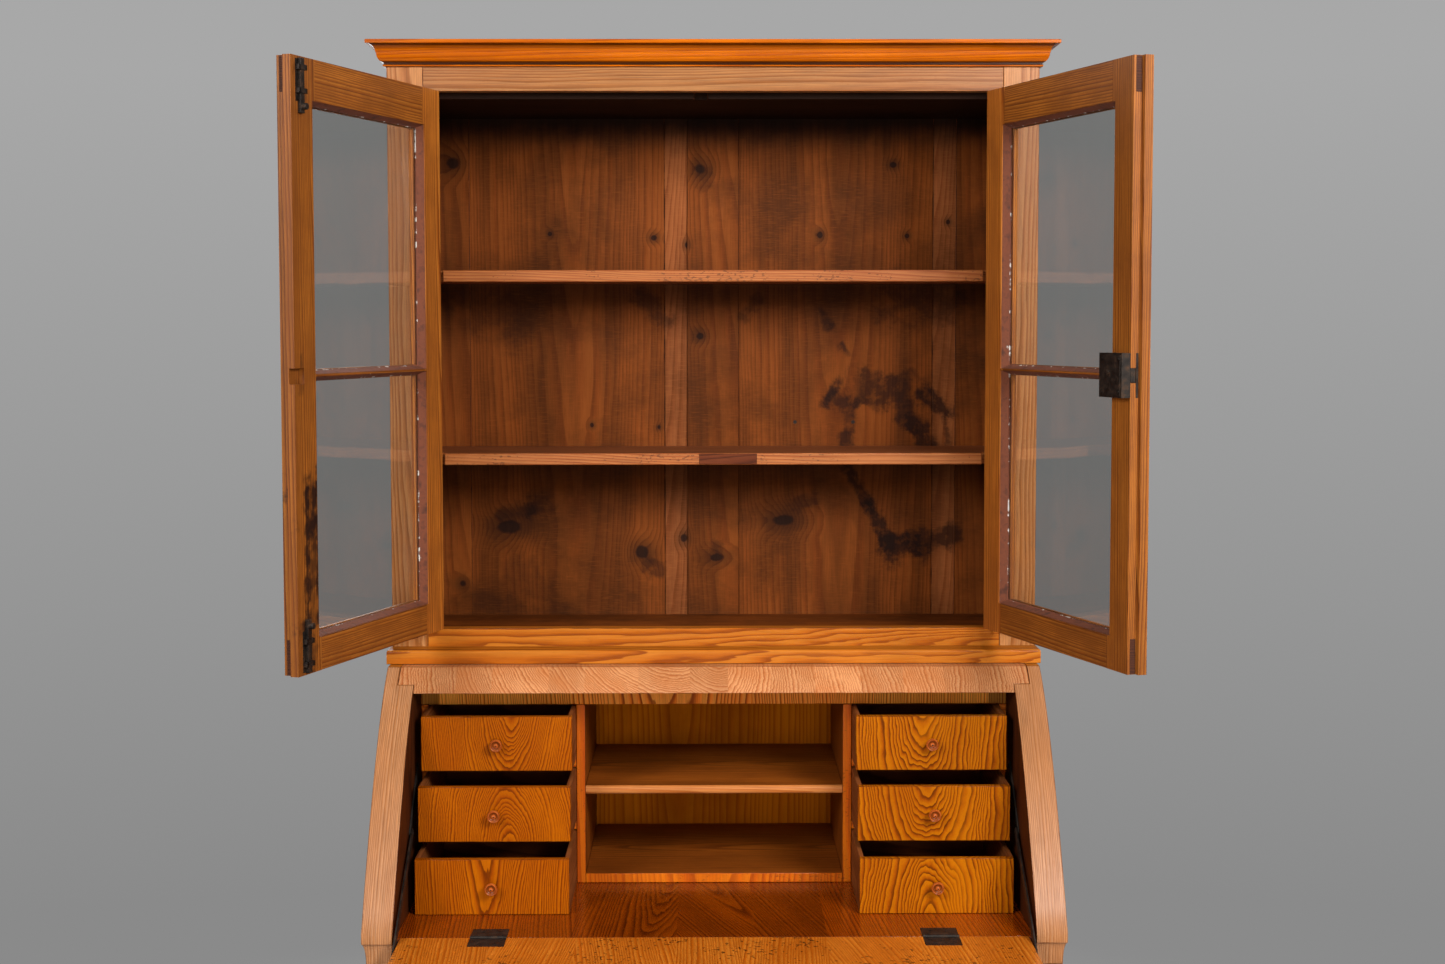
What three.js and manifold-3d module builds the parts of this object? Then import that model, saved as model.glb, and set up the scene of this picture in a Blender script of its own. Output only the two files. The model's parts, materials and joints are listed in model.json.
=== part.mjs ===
// Slant front secretaire: a bureau with a folding writing flap on a chest of drawers,
// and a glazed bookcase standing on its top. Millimetres, +Z up, front towards -Y.
// Inside this file y = 0 is the bookcase's front and z = 0 is the floor.
import * as THREE from 'three';
import { mergeVertices } from 'three/addons/utils/BufferGeometryUtils.js';
import Module from 'manifold-3d';

const wasm = await Module();
wasm.setup();

// Fits
const seat = 0.3; // gap between pieces that touch
const drawerPlay = 0.75; // either side of a drawer
const drawerHeadroom = 2; // above a drawer
const doorGap = 1.5; // round a door, at its hinge, head and foot
const meetingGap = 0.8; // between the two doors' rebates
const overrun = 5; // how far a cutter passes a face

// Bureau: the slanted writing part
const bureau = {
  width: 1040,
  sideThickness: 46,
  topThickness: 23,
  topLap: 25, // how far the top laps over each side
  coveHeight: 33, // hollow moulding under the sides
  coveInset: 6,
  lipHeight: 15, // upright band above the cove
  slantHeight: 350,
  slantTopFront: 38, // the top's front edge, forward of the bookcase
  slantBottomFront: 310,
  slantBendShares: [0.45, 0.215], // where the cheek's curve is drawn towards
  railDrop: 34.6, // height of the sloping rail under the top
  railBackShare: 0.3, // of the top's front projection, under the bookcase
  writingBoardThickness: 22,
  writingRise: 2, // writing level above the foot of the lip
  frontRailDepth: 20,
  curveSteps: 14,
};

// Chest of drawers below
const chest = {
  height: 740, // floor to the bureau's cove
  sideThickness: 24,
  footHeight: 100,
  railHeight: 20,
  railDepth: 70,
  backThickness: 12,
  bottomThickness: 18,
  drawerShares: [0.3036, 0.3357, 0.3607], // of the height left for drawers: top, middle, bottom
  baseProjection: 12,
  baseThickness: 26,
  footWidth: 150,
  footCurveShare: 0.5, // of the foot's width
  curveSteps: 6,
};

// Bookcase
const bookcase = {
  sideStep: 2, // in from the bureau's sides
  depth: 350,
  sideThickness: 20,
  stileWidth: 57,
  frameThickness: 24,
  height: 985, // of sides, stiles and top rail
  bottomRail: 56,
  topRail: 71,
  floorTop: 30,
  floorThickness: 18,
  headDrop: 10, // of the top board below the top rail, to stop the doors
  headThickness: 24,
  backThickness: 16,
  panelThickness: 7,
  panelSetback: 5,
  backStile: 70,
  backMuntin: 91,
  backRail: 60,
  shelfThickness: 19.5,
  shelfFront: 138,
  shelfShares: [0.6922, 0.3427], // of the height inside: upper, lower
  shelfNotch: [48, 20], // across, deep
  stopNotch: [22, 14], // in the top board, for the upper bolt
};

// Mouldings as [outward, height] points from their lower inner corner
const cornice = {
  lap: 33, // below the sides' tops
  bead: 5,
  quirk: 3,
  ovolo: 13,
  cove: 13,
  fillet: 6,
  beadOut: 5,
  quirkOut: 3.5,
  ovoloOut: 14,
  coveOut: 26,
  filletOut: 29,
  curveSteps: 4,
};
const waistMoulding = { height: 22.5, ledge: 4.5, forward: 15, sideways: 7.5, rounding: 4, curveSteps: 3 };

// Glazed doors
const door = {
  thickness: 26,
  hingeStile: 60.5,
  closingStile: 57.6,
  bottomRail: 54.5,
  topRail: 64.5,
  bar: 17,
  barShare: 0.4871, // of the door's height, also the height of the lock
  glassLip: 9, // depth in front of the glass
  rebate: 7,
  meetingStep: 13, // depth of the right door's overlap
  meetingLap: 8,
  glass: 2.5,
  glassPlay: 1,
  openAngle: 108,
};
const doorHinge = { radius: 3.7, length: 62, leaf: 1.2, pinForward: 4, leafDepth: 20, fromEnd: 120 };
const shootBolt = { width: 10, thickness: 5, length: 75, centre: 20, knob: 4.5, knobLength: 7, setback: 3 };
const lock = {
  width: 62,
  height: 62,
  depth: 14,
  boltHeight: 20,
  boltThickness: 8,
  boltLength: 28,
  play: 0.5,
  mortiseDepth: 18, // in the left door's edge
  keyInset: 35.6, // from the closing edge
  stemRadius: 3,
  stemPlay: 0.5,
  stemReach: 8, // into the lock case
  bowRadius: 8,
  bowWire: 2,
  bowStandOff: 5,
};

// Writing flap, its hinges and folding stays
const flap = {
  thickness: 21.5,
  sideGap: 8, // room for the stays
  pinBack: 27, // from the cheek's foot to the hinge pin
  length: 375,
  edgeGap: 1,
};
const flapHinge = { width: 54, leaf: 2, leafDepth: 43, barrelRadius: 3, barrelPlay: 0.6, fromEnd: 130 };
const stay = {
  upperLength: 123,
  lowerLength: 244,
  width: 15,
  thickness: 2.6,
  pivotBack: -45, // upper pivot: y, and drop below the bureau's top
  pivotDrop: 160,
  studForward: 57, // lower pivot on the flap's edge, from the hinge pin
  studDrop: 13,
  studRadius: 5,
  studProud: 1.4,
  linkGap: 0.6,
  endSteps: 6,
};

// Cabinet of small drawers and pigeonholes on the writing board
const cabinet = {
  front: 8, // behind the bookcase's front plane
  topDrop: 51, // below the bureau's top
  topThickness: 18.5,
  wallThickness: 11.5,
  partitionThickness: 14,
  centreWidth: 418, // between the partitions
  floorThickness: 15.7,
  shelfThickness: 14,
  shelfShare: 0.513, // of the cabinet's height
  shelfNose: 5,
  dividerThickness: 14,
  rows: 3,
};

// Drawers
const smallDrawer = {
  front: 12,
  side: 7,
  bottom: 5,
  length: 296,
  knobRadius: 9.8,
  knobNeck: 5,
  knobLength: 20,
  pulled: [92, 133, 176], // top, middle, bottom, as the photograph shows them
};
const longDrawer = {
  front: 22,
  side: 12,
  bottom: 9,
  length: 560,
  play: 1.5,
  knobRadius: 18,
  knobNeck: 9,
  knobLength: 32,
  knobShare: 0.57, // of the drawer's width, between its knobs
};
const knobSides = 16;
const knobNeckShare = 0.28; // of the knob's length
const knobLengthShares = [0.4, 0.55, 0.72, 0.9, 1];
const knobRadiusShares = [0.8, 1, 1, 0.72, 0];

// Places worked out from the sizes above
const bureauTop = chest.height + bureau.coveHeight + bureau.lipHeight + bureau.slantHeight;
const slantFoot = bureauTop - bureau.slantHeight;
const lipFoot = slantFoot - bureau.lipHeight;
const innerSide = bureau.width / 2 - bureau.sideThickness;
const writingLevel = lipFoot + bureau.writingRise;
const backInner = bookcase.depth - bookcase.backThickness;
const pin = [-bureau.slantBottomFront + flap.pinBack, writingLevel];
const boardFoot = writingLevel - bureau.writingBoardThickness;
const caseHalf = bureau.width / 2 - bookcase.sideStep;
const openingHalf = caseHalf - bookcase.stileWidth;
const openingTop = bureauTop + bookcase.height - bookcase.topRail;
const openingBottom = bureauTop + bookcase.bottomRail;
const headBottom = openingTop - bookcase.headDrop;
const bookcaseFloorTop = bureauTop + bookcase.floorTop;

const elm = { color: 0xb4692b, roughness: 0.5, metalness: 0 };
const elmLight = { color: 0xc88048, roughness: 0.45, metalness: 0 };
const pine = { color: 0x7a4220, roughness: 0.7, metalness: 0 };
const darkIron = { color: 0x2c2724, roughness: 0.6, metalness: 0.8 };
const oldGlass = { color: 0xcfd8d4, roughness: 0.05, metalness: 0, transparent: true, opacity: 0.35 };

const model = new THREE.Group();

function add(name, geometry, finish, parent = model) {
  const mesh = new THREE.Mesh(geometry, new THREE.MeshStandardMaterial(finish));
  mesh.name = name;
  parent.add(mesh);
  return mesh;
}

// Boards and extrusions: spans are [low, high] pairs
function boardGeometry([x0, x1], [y0, y1], [z0, z1]) {
  const geometry = new THREE.BoxGeometry(x1 - x0, y1 - y0, z1 - z0);
  geometry.translate((x0 + x1) / 2, (y0 + y1) / 2, (z0 + z1) / 2);
  return geometry;
}

function outlineShape(points) {
  return new THREE.Shape(points.map(([a, b]) => new THREE.Vector2(a, b)));
}

// A [y, z] outline carried across the width
function acrossX(points, [x0, x1]) {
  const geometry = new THREE.ExtrudeGeometry(outlineShape(points), { depth: x1 - x0, bevelEnabled: false });
  const turn = new THREE.Matrix4().makeBasis(
    new THREE.Vector3(0, 1, 0), new THREE.Vector3(0, 0, 1), new THREE.Vector3(1, 0, 0));
  return geometry.applyMatrix4(turn).translate(x0, 0, 0);
}

// An [x, z] outline carried from front to back
function acrossY(points, [y0, y1]) {
  const geometry = new THREE.ExtrudeGeometry(outlineShape(points), { depth: y1 - y0, bevelEnabled: false });
  const turn = new THREE.Matrix4().makeBasis(
    new THREE.Vector3(1, 0, 0), new THREE.Vector3(0, 0, 1), new THREE.Vector3(0, -1, 0));
  return geometry.applyMatrix4(turn).translate(0, y1, 0);
}

// An [x, y] outline carried upwards
function acrossZ(points, [z0, z1]) {
  const geometry = new THREE.ExtrudeGeometry(outlineShape(points), { depth: z1 - z0, bevelEnabled: false });
  return geometry.translate(0, 0, z0);
}

function rod(radius, length, axis, [x, y, z], sides = knobSides) {
  const geometry = new THREE.CylinderGeometry(radius, radius, length, sides);
  if (axis === 'x') geometry.rotateZ(Math.PI / 2);
  if (axis === 'z') geometry.rotateX(Math.PI / 2);
  return geometry.translate(x, y, z);
}

// Joins and cuts
function toSolid(geometry) {
  const bare = geometry.clone();
  bare.deleteAttribute('normal');
  bare.deleteAttribute('uv');
  const merged = mergeVertices(bare);
  return new wasm.Manifold(new wasm.Mesh({
    numProp: 3,
    vertProperties: new Float32Array(merged.attributes.position.array),
    triVerts: new Uint32Array(merged.index.array),
  }));
}

function toGeometry(solid) {
  const { vertProperties, triVerts } = solid.getMesh();
  const geometry = new THREE.BufferGeometry();
  geometry.setAttribute('position', new THREE.BufferAttribute(new Float32Array(vertProperties), 3));
  geometry.setIndex(new THREE.BufferAttribute(new Uint32Array(triVerts), 1));
  geometry.computeVertexNormals();
  return geometry;
}

function joined(...geometries) {
  return toGeometry(geometries.map(toSolid).reduce((whole, next) => whole.add(next)));
}

function cut(geometry, ...cutters) {
  return toGeometry(cutters.map(toSolid).reduce((whole, next) => whole.subtract(next), toSolid(geometry)));
}

// A moulding mitred round the left side, the front and the right side.
// Each profile point is [outward, height]; sideways outward is scaled by sideShare.
function mitredMoulding(profile, halfWidth, frontY, backY, sideShare = 1) {
  const stations = [
    ([out, z]) => [-(halfWidth + out * sideShare), backY, z],
    ([out, z]) => [-(halfWidth + out * sideShare), frontY - out, z],
    ([out, z]) => [halfWidth + out * sideShare, frontY - out, z],
    ([out, z]) => [halfWidth + out * sideShare, backY, z],
  ];
  const count = profile.length;
  const positions = stations.flatMap((place) => profile.flatMap((point) => place(point)));
  const index = [];
  for (let station = 0; station < stations.length - 1; station += 1) {
    for (let i = 0; i < count; i += 1) {
      const next = (i + 1) % count;
      const a = station * count + i;
      const b = station * count + next;
      index.push(a, a + count, b, b, a + count, b + count);
    }
  }
  const capFaces = THREE.ShapeUtils.triangulateShape(profile.map(([a, b]) => new THREE.Vector2(a, b)), []);
  const last = (stations.length - 1) * count;
  for (const [a, b, c] of capFaces) {
    index.push(a, b, c, last + c, last + b, last + a);
  }
  const geometry = new THREE.BufferGeometry();
  geometry.setAttribute('position', new THREE.Float32BufferAttribute(positions, 3));
  geometry.setIndex(index);
  geometry.computeVertexNormals();
  return geometry;
}

// Points on a quarter ellipse from one point to another, bulging towards a corner
function quarter([a0, b0], [a1, b1], corner, steps) {
  const points = [];
  for (let i = 1; i < steps; i += 1) {
    const turn = (i / steps) * (Math.PI / 2);
    const [ca, cb] = corner;
    points.push([
      ca + (a0 - ca) * (1 - Math.sin(turn)) + (a1 - ca) * (1 - Math.cos(turn)),
      cb + (b0 - cb) * (1 - Math.sin(turn)) + (b1 - cb) * (1 - Math.cos(turn)),
    ]);
  }
  return points;
}

// The cheek's convex front edge, from the top down, as [y, z]
function cheekCurve() {
  const top = new THREE.Vector2(-bureau.slantTopFront, bureauTop);
  const foot = new THREE.Vector2(-bureau.slantBottomFront, slantFoot);
  const [shareY, shareZ] = bureau.slantBendShares;
  const bend = new THREE.Vector2(
    top.x + (foot.x - top.x) * shareY,
    top.y + (foot.y - top.y) * shareZ);
  const curve = new THREE.QuadraticBezierCurve(top, bend, foot);
  return curve.getPoints(bureau.curveSteps).map((point) => [point.x, point.y]);
}

// The part of that edge above a height, ending exactly at it
function cheekAbove(height) {
  const points = cheekCurve();
  const first = points.findIndex(([, z]) => z < height);
  const [[ya, za], [yb, zb]] = [points[first - 1], points[first]];
  const share = (height - za) / (zb - za);
  return [...points.slice(0, first), [ya + (yb - ya) * share, height]];
}

// Chest of drawers
const chestHalf = bureau.width / 2 - bureau.coveInset;
const chestFront = -(bureau.slantBottomFront - bureau.coveInset);
const chestTop = chest.height - seat;
const bottomFace = chest.footHeight + chest.railHeight;
const drawersHeight = chest.height - bottomFace - chest.drawerShares.length * chest.railHeight;
const drawerRows = [];
let rowTop = chest.height - chest.railHeight;
for (const share of chest.drawerShares) {
  const opening = share * drawersHeight;
  drawerRows.push([rowTop - opening, rowTop]);
  rowTop -= opening + chest.railHeight;
}

function chestCase() {
  const inner = chestHalf - chest.sideThickness;
  const railBack = chestFront + chest.railDepth;
  const heights = [chest.footHeight, chestTop];
  const whole = boardGeometry([-chestHalf, chestHalf], [chestFront, bookcase.depth], heights);
  const back = bookcase.depth - chest.backThickness;
  const bays = drawerRows.map(([low, high]) =>
    boardGeometry([-inner, inner], [chestFront - overrun, back], [low, high]));
  const spaces = drawerRows.slice(1).map(([, high]) =>
    boardGeometry([-inner, inner], [railBack, back], [high - overrun, high + chest.railHeight + overrun]));
  const topSpace = boardGeometry(
    [-inner, inner], [railBack, back], [drawerRows[0][1] - overrun, chest.height + overrun]);
  const footSpace = boardGeometry(
    [-inner, inner], [railBack, back], [chest.footHeight - overrun, bottomFace - chest.bottomThickness]);
  return cut(whole, ...bays, ...spaces, topSpace, footSpace);
}
add('chest_case', chestCase(), elm);

function bracketBase() {
  const outer = chestHalf + chest.baseProjection;
  const frontY = chestFront - chest.baseProjection;
  const inner = outer - chest.baseThickness;
  const ring = cut(
    boardGeometry([-outer, outer], [frontY, bookcase.depth], [0, chest.footHeight - seat]),
    boardGeometry([-inner, inner], [frontY + chest.baseThickness, bookcase.depth - chest.baseThickness],
      [-overrun, chest.footHeight + overrun]));
  const rise = chest.footHeight * chest.footCurveShare;
  const straight = chest.footWidth * (1 - chest.footCurveShare);
  const arch = (low, high) => [
    [low + straight, -overrun],
    ...quarter([low + straight, rise / 2], [low + chest.footWidth, rise], [low + straight, rise],
      chest.curveSteps),
    [low + chest.footWidth, rise],
    [high - chest.footWidth, rise],
    ...quarter([high - chest.footWidth, rise], [high - straight, rise / 2], [high - straight, rise],
      chest.curveSteps),
    [high - straight, -overrun],
  ];
  const frontArch = acrossY(arch(-outer, outer), [frontY - overrun, bookcase.depth + overrun]);
  const sideArch = acrossX(arch(frontY, bookcase.depth), [-outer - overrun, outer + overrun]);
  return cut(ring, frontArch, sideArch);
}
add('bracket_base', bracketBase(), elm);

// A turned knob standing out of a drawer front, towards -Y
function knob(radius, neck, length, [x, y, z]) {
  const profile = [[0, -seat], [neck, -seat], [neck, knobNeckShare * length]];
  knobLengthShares.forEach((share, i) => profile.push([knobRadiusShares[i] * radius, share * length]));
  const geometry = new THREE.LatheGeometry(profile.map(([a, b]) => new THREE.Vector2(a, b)), knobSides);
  return geometry.rotateX(Math.PI).translate(x, y, z);
}

// An open box with a thicker front, its front face at y = front
function drawerBox([x0, x1], front, length, [z0, z1], walls) {
  const whole = boardGeometry([x0, x1], [front, front + length], [z0, z1]);
  const hollow = boardGeometry(
    [x0 + walls.side, x1 - walls.side], [front + walls.front, front + length - walls.side],
    [z0 + walls.bottom, z1 + overrun]);
  return cut(whole, hollow);
}

['top', 'middle', 'bottom'].forEach((name, row) => {
  const [low, high] = drawerRows[row];
  const half = chestHalf - chest.sideThickness - longDrawer.play;
  const span = [low + seat, high - drawerHeadroom];
  const box = drawerBox([-half, half], chestFront, longDrawer.length, span, longDrawer);
  const middle = (low + high) / 2;
  const knobs = [-1, 1].map((side) => knob(longDrawer.knobRadius, longDrawer.knobNeck, longDrawer.knobLength,
    [side * half * longDrawer.knobShare, chestFront, middle]));
  add(`long_drawer_${name}`, joined(box, ...knobs), elm);
});

// Bureau sides with their curved cheeks and coved feet
function bureauSide(side) {
  const outer = bureau.width / 2;
  const cove = quarter(
    [-bureau.slantBottomFront, lipFoot], [chestFront, chest.height],
    [chestFront, lipFoot], chest.curveSteps);
  const outline = [
    ...cheekCurve(),
    [-bureau.slantBottomFront, lipFoot],
    ...cove,
    [chestFront, chest.height],
    [bookcase.depth, chest.height],
    [bookcase.depth, bureauTop],
  ];
  const panel = acrossX(outline, [innerSide, outer]);
  const hollow = [
    [outer, lipFoot],
    ...quarter([outer, lipFoot], [chestHalf, chest.height], [chestHalf, lipFoot], chest.curveSteps),
    [chestHalf, chest.height],
    [chestHalf, chest.height - overrun],
    [outer + overrun, chest.height - overrun],
    [outer + overrun, lipFoot],
  ];
  const sideCove = acrossY(hollow, [-bureau.slantBottomFront - overrun, bookcase.depth + overrun]);
  const lapNotch = boardGeometry(
    [innerSide - overrun, innerSide + bureau.topLap + seat],
    [-bureau.slantBottomFront, bookcase.depth + overrun],
    [bureauTop - bureau.topThickness - seat, bureauTop + overrun]);
  return cut(panel, sideCove, lapNotch).scale(side, 1, 1);
}

// Scaling by -1 turns a shape inside out, so its faces are turned back
function facingOut(geometry, side) {
  if (side > 0) return geometry;
  const order = geometry.index.array;
  for (let i = 0; i < order.length; i += 3) {
    [order[i], order[i + 1]] = [order[i + 1], order[i]];
  }
  geometry.computeVertexNormals();
  return geometry;
}

for (const [name, side] of [['left', -1], ['right', 1]]) {
  add(`bureau_side_${name}`, facingOut(bureauSide(side), side), elmLight);
}

const lapEnd = innerSide + bureau.topLap;
const railBack = -bureau.slantTopFront * bureau.railBackShare;
function slantRail() {
  const outline = [
    ...cheekAbove(bureauTop - bureau.railDrop),
    [railBack, bureauTop - bureau.railDrop],
    [railBack, bureauTop],
  ];
  const trims = [-1, 1].map((side) => {
    const span = [innerSide - seat, lapEnd + overrun].map((x) => x * side).sort((a, b) => a - b);
    return boardGeometry(span, [-bureau.slantBottomFront, 0],
      [bureauTop - bureau.railDrop - overrun, bureauTop - bureau.topThickness]);
  });
  return cut(acrossX(outline, [-lapEnd, lapEnd]), ...trims);
}
add('slant_rail', slantRail(), elmLight);
add('bureau_top', boardGeometry(
  [-lapEnd, lapEnd], [railBack + seat, bookcase.depth], [bureauTop - bureau.topThickness, bureauTop]), elm);
add('bureau_back', boardGeometry(
  [-innerSide + seat, innerSide - seat], [backInner, bookcase.depth],
  [chest.height, bureauTop - bureau.topThickness - seat]), pine);
add('front_rail', boardGeometry(
  [-innerSide + seat, innerSide - seat], [chestFront, chestFront + bureau.frontRailDepth],
  [chest.height, boardFoot - seat]), elm);

// Writing board, with pockets for the hinge leaves and their barrels
const flapHalf = innerSide - flap.sideGap;
const hingeHalf = flapHalf - flapHinge.fromEnd;
const hingeCentres = [['left', -hingeHalf], ['right', hingeHalf]];
function barrelRoom(x) {
  return rod(flapHinge.barrelRadius + flapHinge.barrelPlay, flapHinge.width + 2 * seat, 'x', [x, ...pin]);
}
const writingBoard = boardGeometry(
  [-innerSide + seat, innerSide - seat], [pin[0] + seat, backInner - seat], [boardFoot, writingLevel]);
const leafPockets = hingeCentres.map(([, x]) => boardGeometry(
  [x - flapHinge.width / 2 - seat, x + flapHinge.width / 2 + seat],
  [pin[0] - overrun, pin[0] + flapHinge.leafDepth + seat],
  [writingLevel - flapHinge.leaf - seat, writingLevel + overrun]));
add('writing_board', cut(writingBoard, ...leafPockets, ...hingeCentres.map(([, x]) => barrelRoom(x))), elm);

for (const [name, x] of hingeCentres) {
  const leaf = boardGeometry(
    [x - flapHinge.width / 2, x + flapHinge.width / 2], [pin[0], pin[0] + flapHinge.leafDepth],
    [writingLevel - flapHinge.leaf, writingLevel]);
  const barrel = rod(flapHinge.barrelRadius, flapHinge.width, 'x', [x, ...pin]);
  add(`flap_hinge_${name}`, joined(leaf, barrel), darkIron);
}

// The flap lies open, level with the writing board
const studAt = [pin[0] - stay.studForward, pin[1] - stay.studDrop];
function flapBoard() {
  const board = boardGeometry(
    [-flapHalf, flapHalf], [pin[0] - flap.length, pin[0] - flap.edgeGap],
    [writingLevel - flap.thickness, writingLevel]);
  const pockets = hingeCentres.map(([, x]) => boardGeometry(
    [x - flapHinge.width / 2 - seat, x + flapHinge.width / 2 + seat],
    [pin[0] - flapHinge.leafDepth - seat, pin[0] + overrun],
    [writingLevel - flapHinge.leaf - seat, writingLevel + overrun]));
  const cutBoard = cut(board, ...pockets, ...hingeCentres.map(([, x]) => barrelRoom(x)));
  const studs = [-1, 1].map((side) => rod(
    stay.studRadius, 2 * stay.studProud, 'x', [side * flapHalf, ...studAt]));
  return joined(cutBoard, ...studs);
}
add('writing_flap', flapBoard(), elm);

// Folding stays: two flat links a side, knee hanging below the straight line
const upperPivot = [stay.pivotBack, bureauTop - stay.pivotDrop];
function stayKnee() {
  const [dy, dz] = [studAt[0] - upperPivot[0], studAt[1] - upperPivot[1]];
  const span = Math.hypot(dy, dz);
  const cosine = (stay.upperLength ** 2 + span ** 2 - stay.lowerLength ** 2) / (2 * stay.upperLength * span);
  const angle = Math.atan2(dz, dy) + Math.acos(cosine);
  const reach = stay.upperLength;
  return [upperPivot[0] + reach * Math.cos(angle), upperPivot[1] + reach * Math.sin(angle)];
}

function stayLink([ya, za], [yb, zb], span) {
  const heading = Math.atan2(zb - za, yb - ya);
  const points = [];
  for (const [[y, z], start] of [[[yb, zb], heading - Math.PI / 2], [[ya, za], heading + Math.PI / 2]]) {
    for (let i = 0; i <= stay.endSteps; i += 1) {
      const turn = start + (i / stay.endSteps) * Math.PI;
      points.push([y + (stay.width / 2) * Math.cos(turn), z + (stay.width / 2) * Math.sin(turn)]);
    }
  }
  return acrossX(points, span);
}

const knee = stayKnee();
const upperLink = [innerSide - seat - stay.thickness, innerSide - seat];
const lowerLink = upperLink.map((x) => x - stay.thickness - stay.linkGap);
for (const [name, side] of [['left', -1], ['right', 1]]) {
  const spans = [upperLink, lowerLink].map((span) => span.map((x) => x * side).sort((a, b) => a - b));
  add(`stay_upper_${name}`, stayLink(upperPivot, knee, spans[0]), darkIron);
  add(`stay_lower_${name}`, stayLink(knee, studAt, spans[1]), darkIron);
}

// Cabinet of small drawers
const cabinetTop = bureauTop - cabinet.topDrop;
const cabinetCeiling = cabinetTop - cabinet.topThickness;
const cabinetDepth = [cabinet.front, backInner - seat];
const centreHalf = cabinet.centreWidth / 2;
const bayInner = centreHalf + cabinet.partitionThickness;
const wallInner = innerSide - seat - cabinet.wallThickness;
const dividersHeight = (cabinet.rows - 1) * cabinet.dividerThickness;
const rowOpening = (cabinetCeiling - writingLevel - dividersHeight) / cabinet.rows;
const rowPitch = rowOpening + cabinet.dividerThickness;

add('cabinet_top', boardGeometry(
  [-innerSide + seat, innerSide - seat], cabinetDepth, [cabinetCeiling, cabinetTop]), elm);
add('cabinet_floor', boardGeometry(
  [-centreHalf + seat, centreHalf - seat], cabinetDepth,
  [writingLevel + seat, writingLevel + cabinet.floorThickness]), elm);

function cabinetShelf() {
  const top = writingLevel + (cabinetTop - writingLevel) * cabinet.shelfShare;
  const foot = top - cabinet.shelfThickness;
  const nose = cabinet.front;
  const outline = [
    [cabinetDepth[1], top],
    [nose + cabinet.shelfNose, top],
    ...quarter([nose + cabinet.shelfNose, top], [nose, (top + foot) / 2], [nose, top], chest.curveSteps),
    [nose, (top + foot) / 2],
    ...quarter([nose, (top + foot) / 2], [nose + cabinet.shelfNose, foot], [nose, foot], chest.curveSteps),
    [nose + cabinet.shelfNose, foot],
    [cabinetDepth[1], foot],
  ];
  return acrossX(outline, [-centreHalf + seat, centreHalf - seat]);
}
add('cabinet_shelf', cabinetShelf(), elm);

// A bay is the outer wall with the two dustboards that the drawers run on
function bay(side) {
  const wall = boardGeometry([wallInner, innerSide - seat], cabinetDepth,
    [writingLevel + seat, cabinetCeiling - seat]);
  const boards = [];
  for (let row = 1; row < cabinet.rows; row += 1) {
    const foot = writingLevel + row * rowPitch - cabinet.dividerThickness;
    boards.push(boardGeometry([bayInner + seat, wallInner + overrun], cabinetDepth,
      [foot, foot + cabinet.dividerThickness]));
  }
  return joined(wall, ...boards).scale(side, 1, 1);
}

for (const [name, side] of [['left', -1], ['right', 1]]) {
  const span = [centreHalf, bayInner].map((x) => x * side).sort((a, b) => a - b);
  add(`cabinet_partition_${name}`, boardGeometry(
    span, cabinetDepth, [writingLevel + seat, cabinetCeiling - seat]), elm);
  add(`cabinet_bay_${name}`, facingOut(bay(side), side), elm);
}

// Small drawers, pulled out by row
['top', 'middle', 'bottom'].forEach((rowName, row) => {
  const foot = writingLevel + (cabinet.rows - 1 - row) * rowPitch + seat;
  const span = [foot, foot - seat + rowOpening - drawerHeadroom];
  for (const [name, side] of [['left', -1], ['right', 1]]) {
    const width = [bayInner + drawerPlay, wallInner - drawerPlay].map((x) => x * side).sort((a, b) => a - b);
    const box = drawerBox(width, cabinet.front, smallDrawer.length, span, smallDrawer);
    const pull = knob(smallDrawer.knobRadius, smallDrawer.knobNeck, smallDrawer.knobLength,
      [(width[0] + width[1]) / 2, cabinet.front, (span[0] + span[1]) / 2]);
    const mesh = add(`small_drawer_${rowName}_${name}`, joined(box, pull), elm);
    mesh.position.y = -smallDrawer.pulled[row];
  }
});

// Bookcase carcase
const bookcaseFoot = bureauTop + seat;
const bookcaseTop = bureauTop + bookcase.height;
const caseInner = caseHalf - bookcase.sideThickness;
const insideFrame = bookcase.frameThickness + seat;

for (const [name, side] of [['left', -1], ['right', 1]]) {
  const sideSpan = [caseInner, caseHalf].map((x) => x * side).sort((a, b) => a - b);
  add(`bookcase_side_${name}`, boardGeometry(
    sideSpan, [insideFrame, bookcase.depth], [bookcaseFoot, bookcaseTop]), elm);
  const stileSpan = [openingHalf, caseHalf].map((x) => x * side).sort((a, b) => a - b);
  add(`front_stile_${name}`, boardGeometry(
    stileSpan, [0, bookcase.frameThickness], [bookcaseFoot, bookcaseTop]), elmLight);
}
const betweenStiles = [-openingHalf + seat, openingHalf - seat];
add('top_rail', boardGeometry(
  betweenStiles, [0, bookcase.frameThickness], [openingTop, bookcaseTop]), elmLight);
add('bottom_rail', boardGeometry(
  betweenStiles, [0, bookcase.frameThickness], [bookcaseFoot, openingBottom]), elmLight);

const insideCase = [-caseInner + seat, caseInner - seat];
add('bookcase_floor', boardGeometry(insideCase, [insideFrame, backInner - seat],
  [bookcaseFloorTop - bookcase.floorThickness, bookcaseFloorTop]), pine);

function bookcaseHead() {
  const board = boardGeometry(insideCase, [door.thickness + seat, backInner - seat],
    [headBottom, headBottom + bookcase.headThickness]);
  const [across, deep] = bookcase.stopNotch;
  return cut(board, boardGeometry([-shootBolt.centre - across / 2, -shootBolt.centre + across / 2],
    [0, door.thickness + deep], [headBottom - overrun, headBottom + bookcase.headThickness + overrun]));
}
add('bookcase_head', bookcaseHead(), pine);

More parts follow.
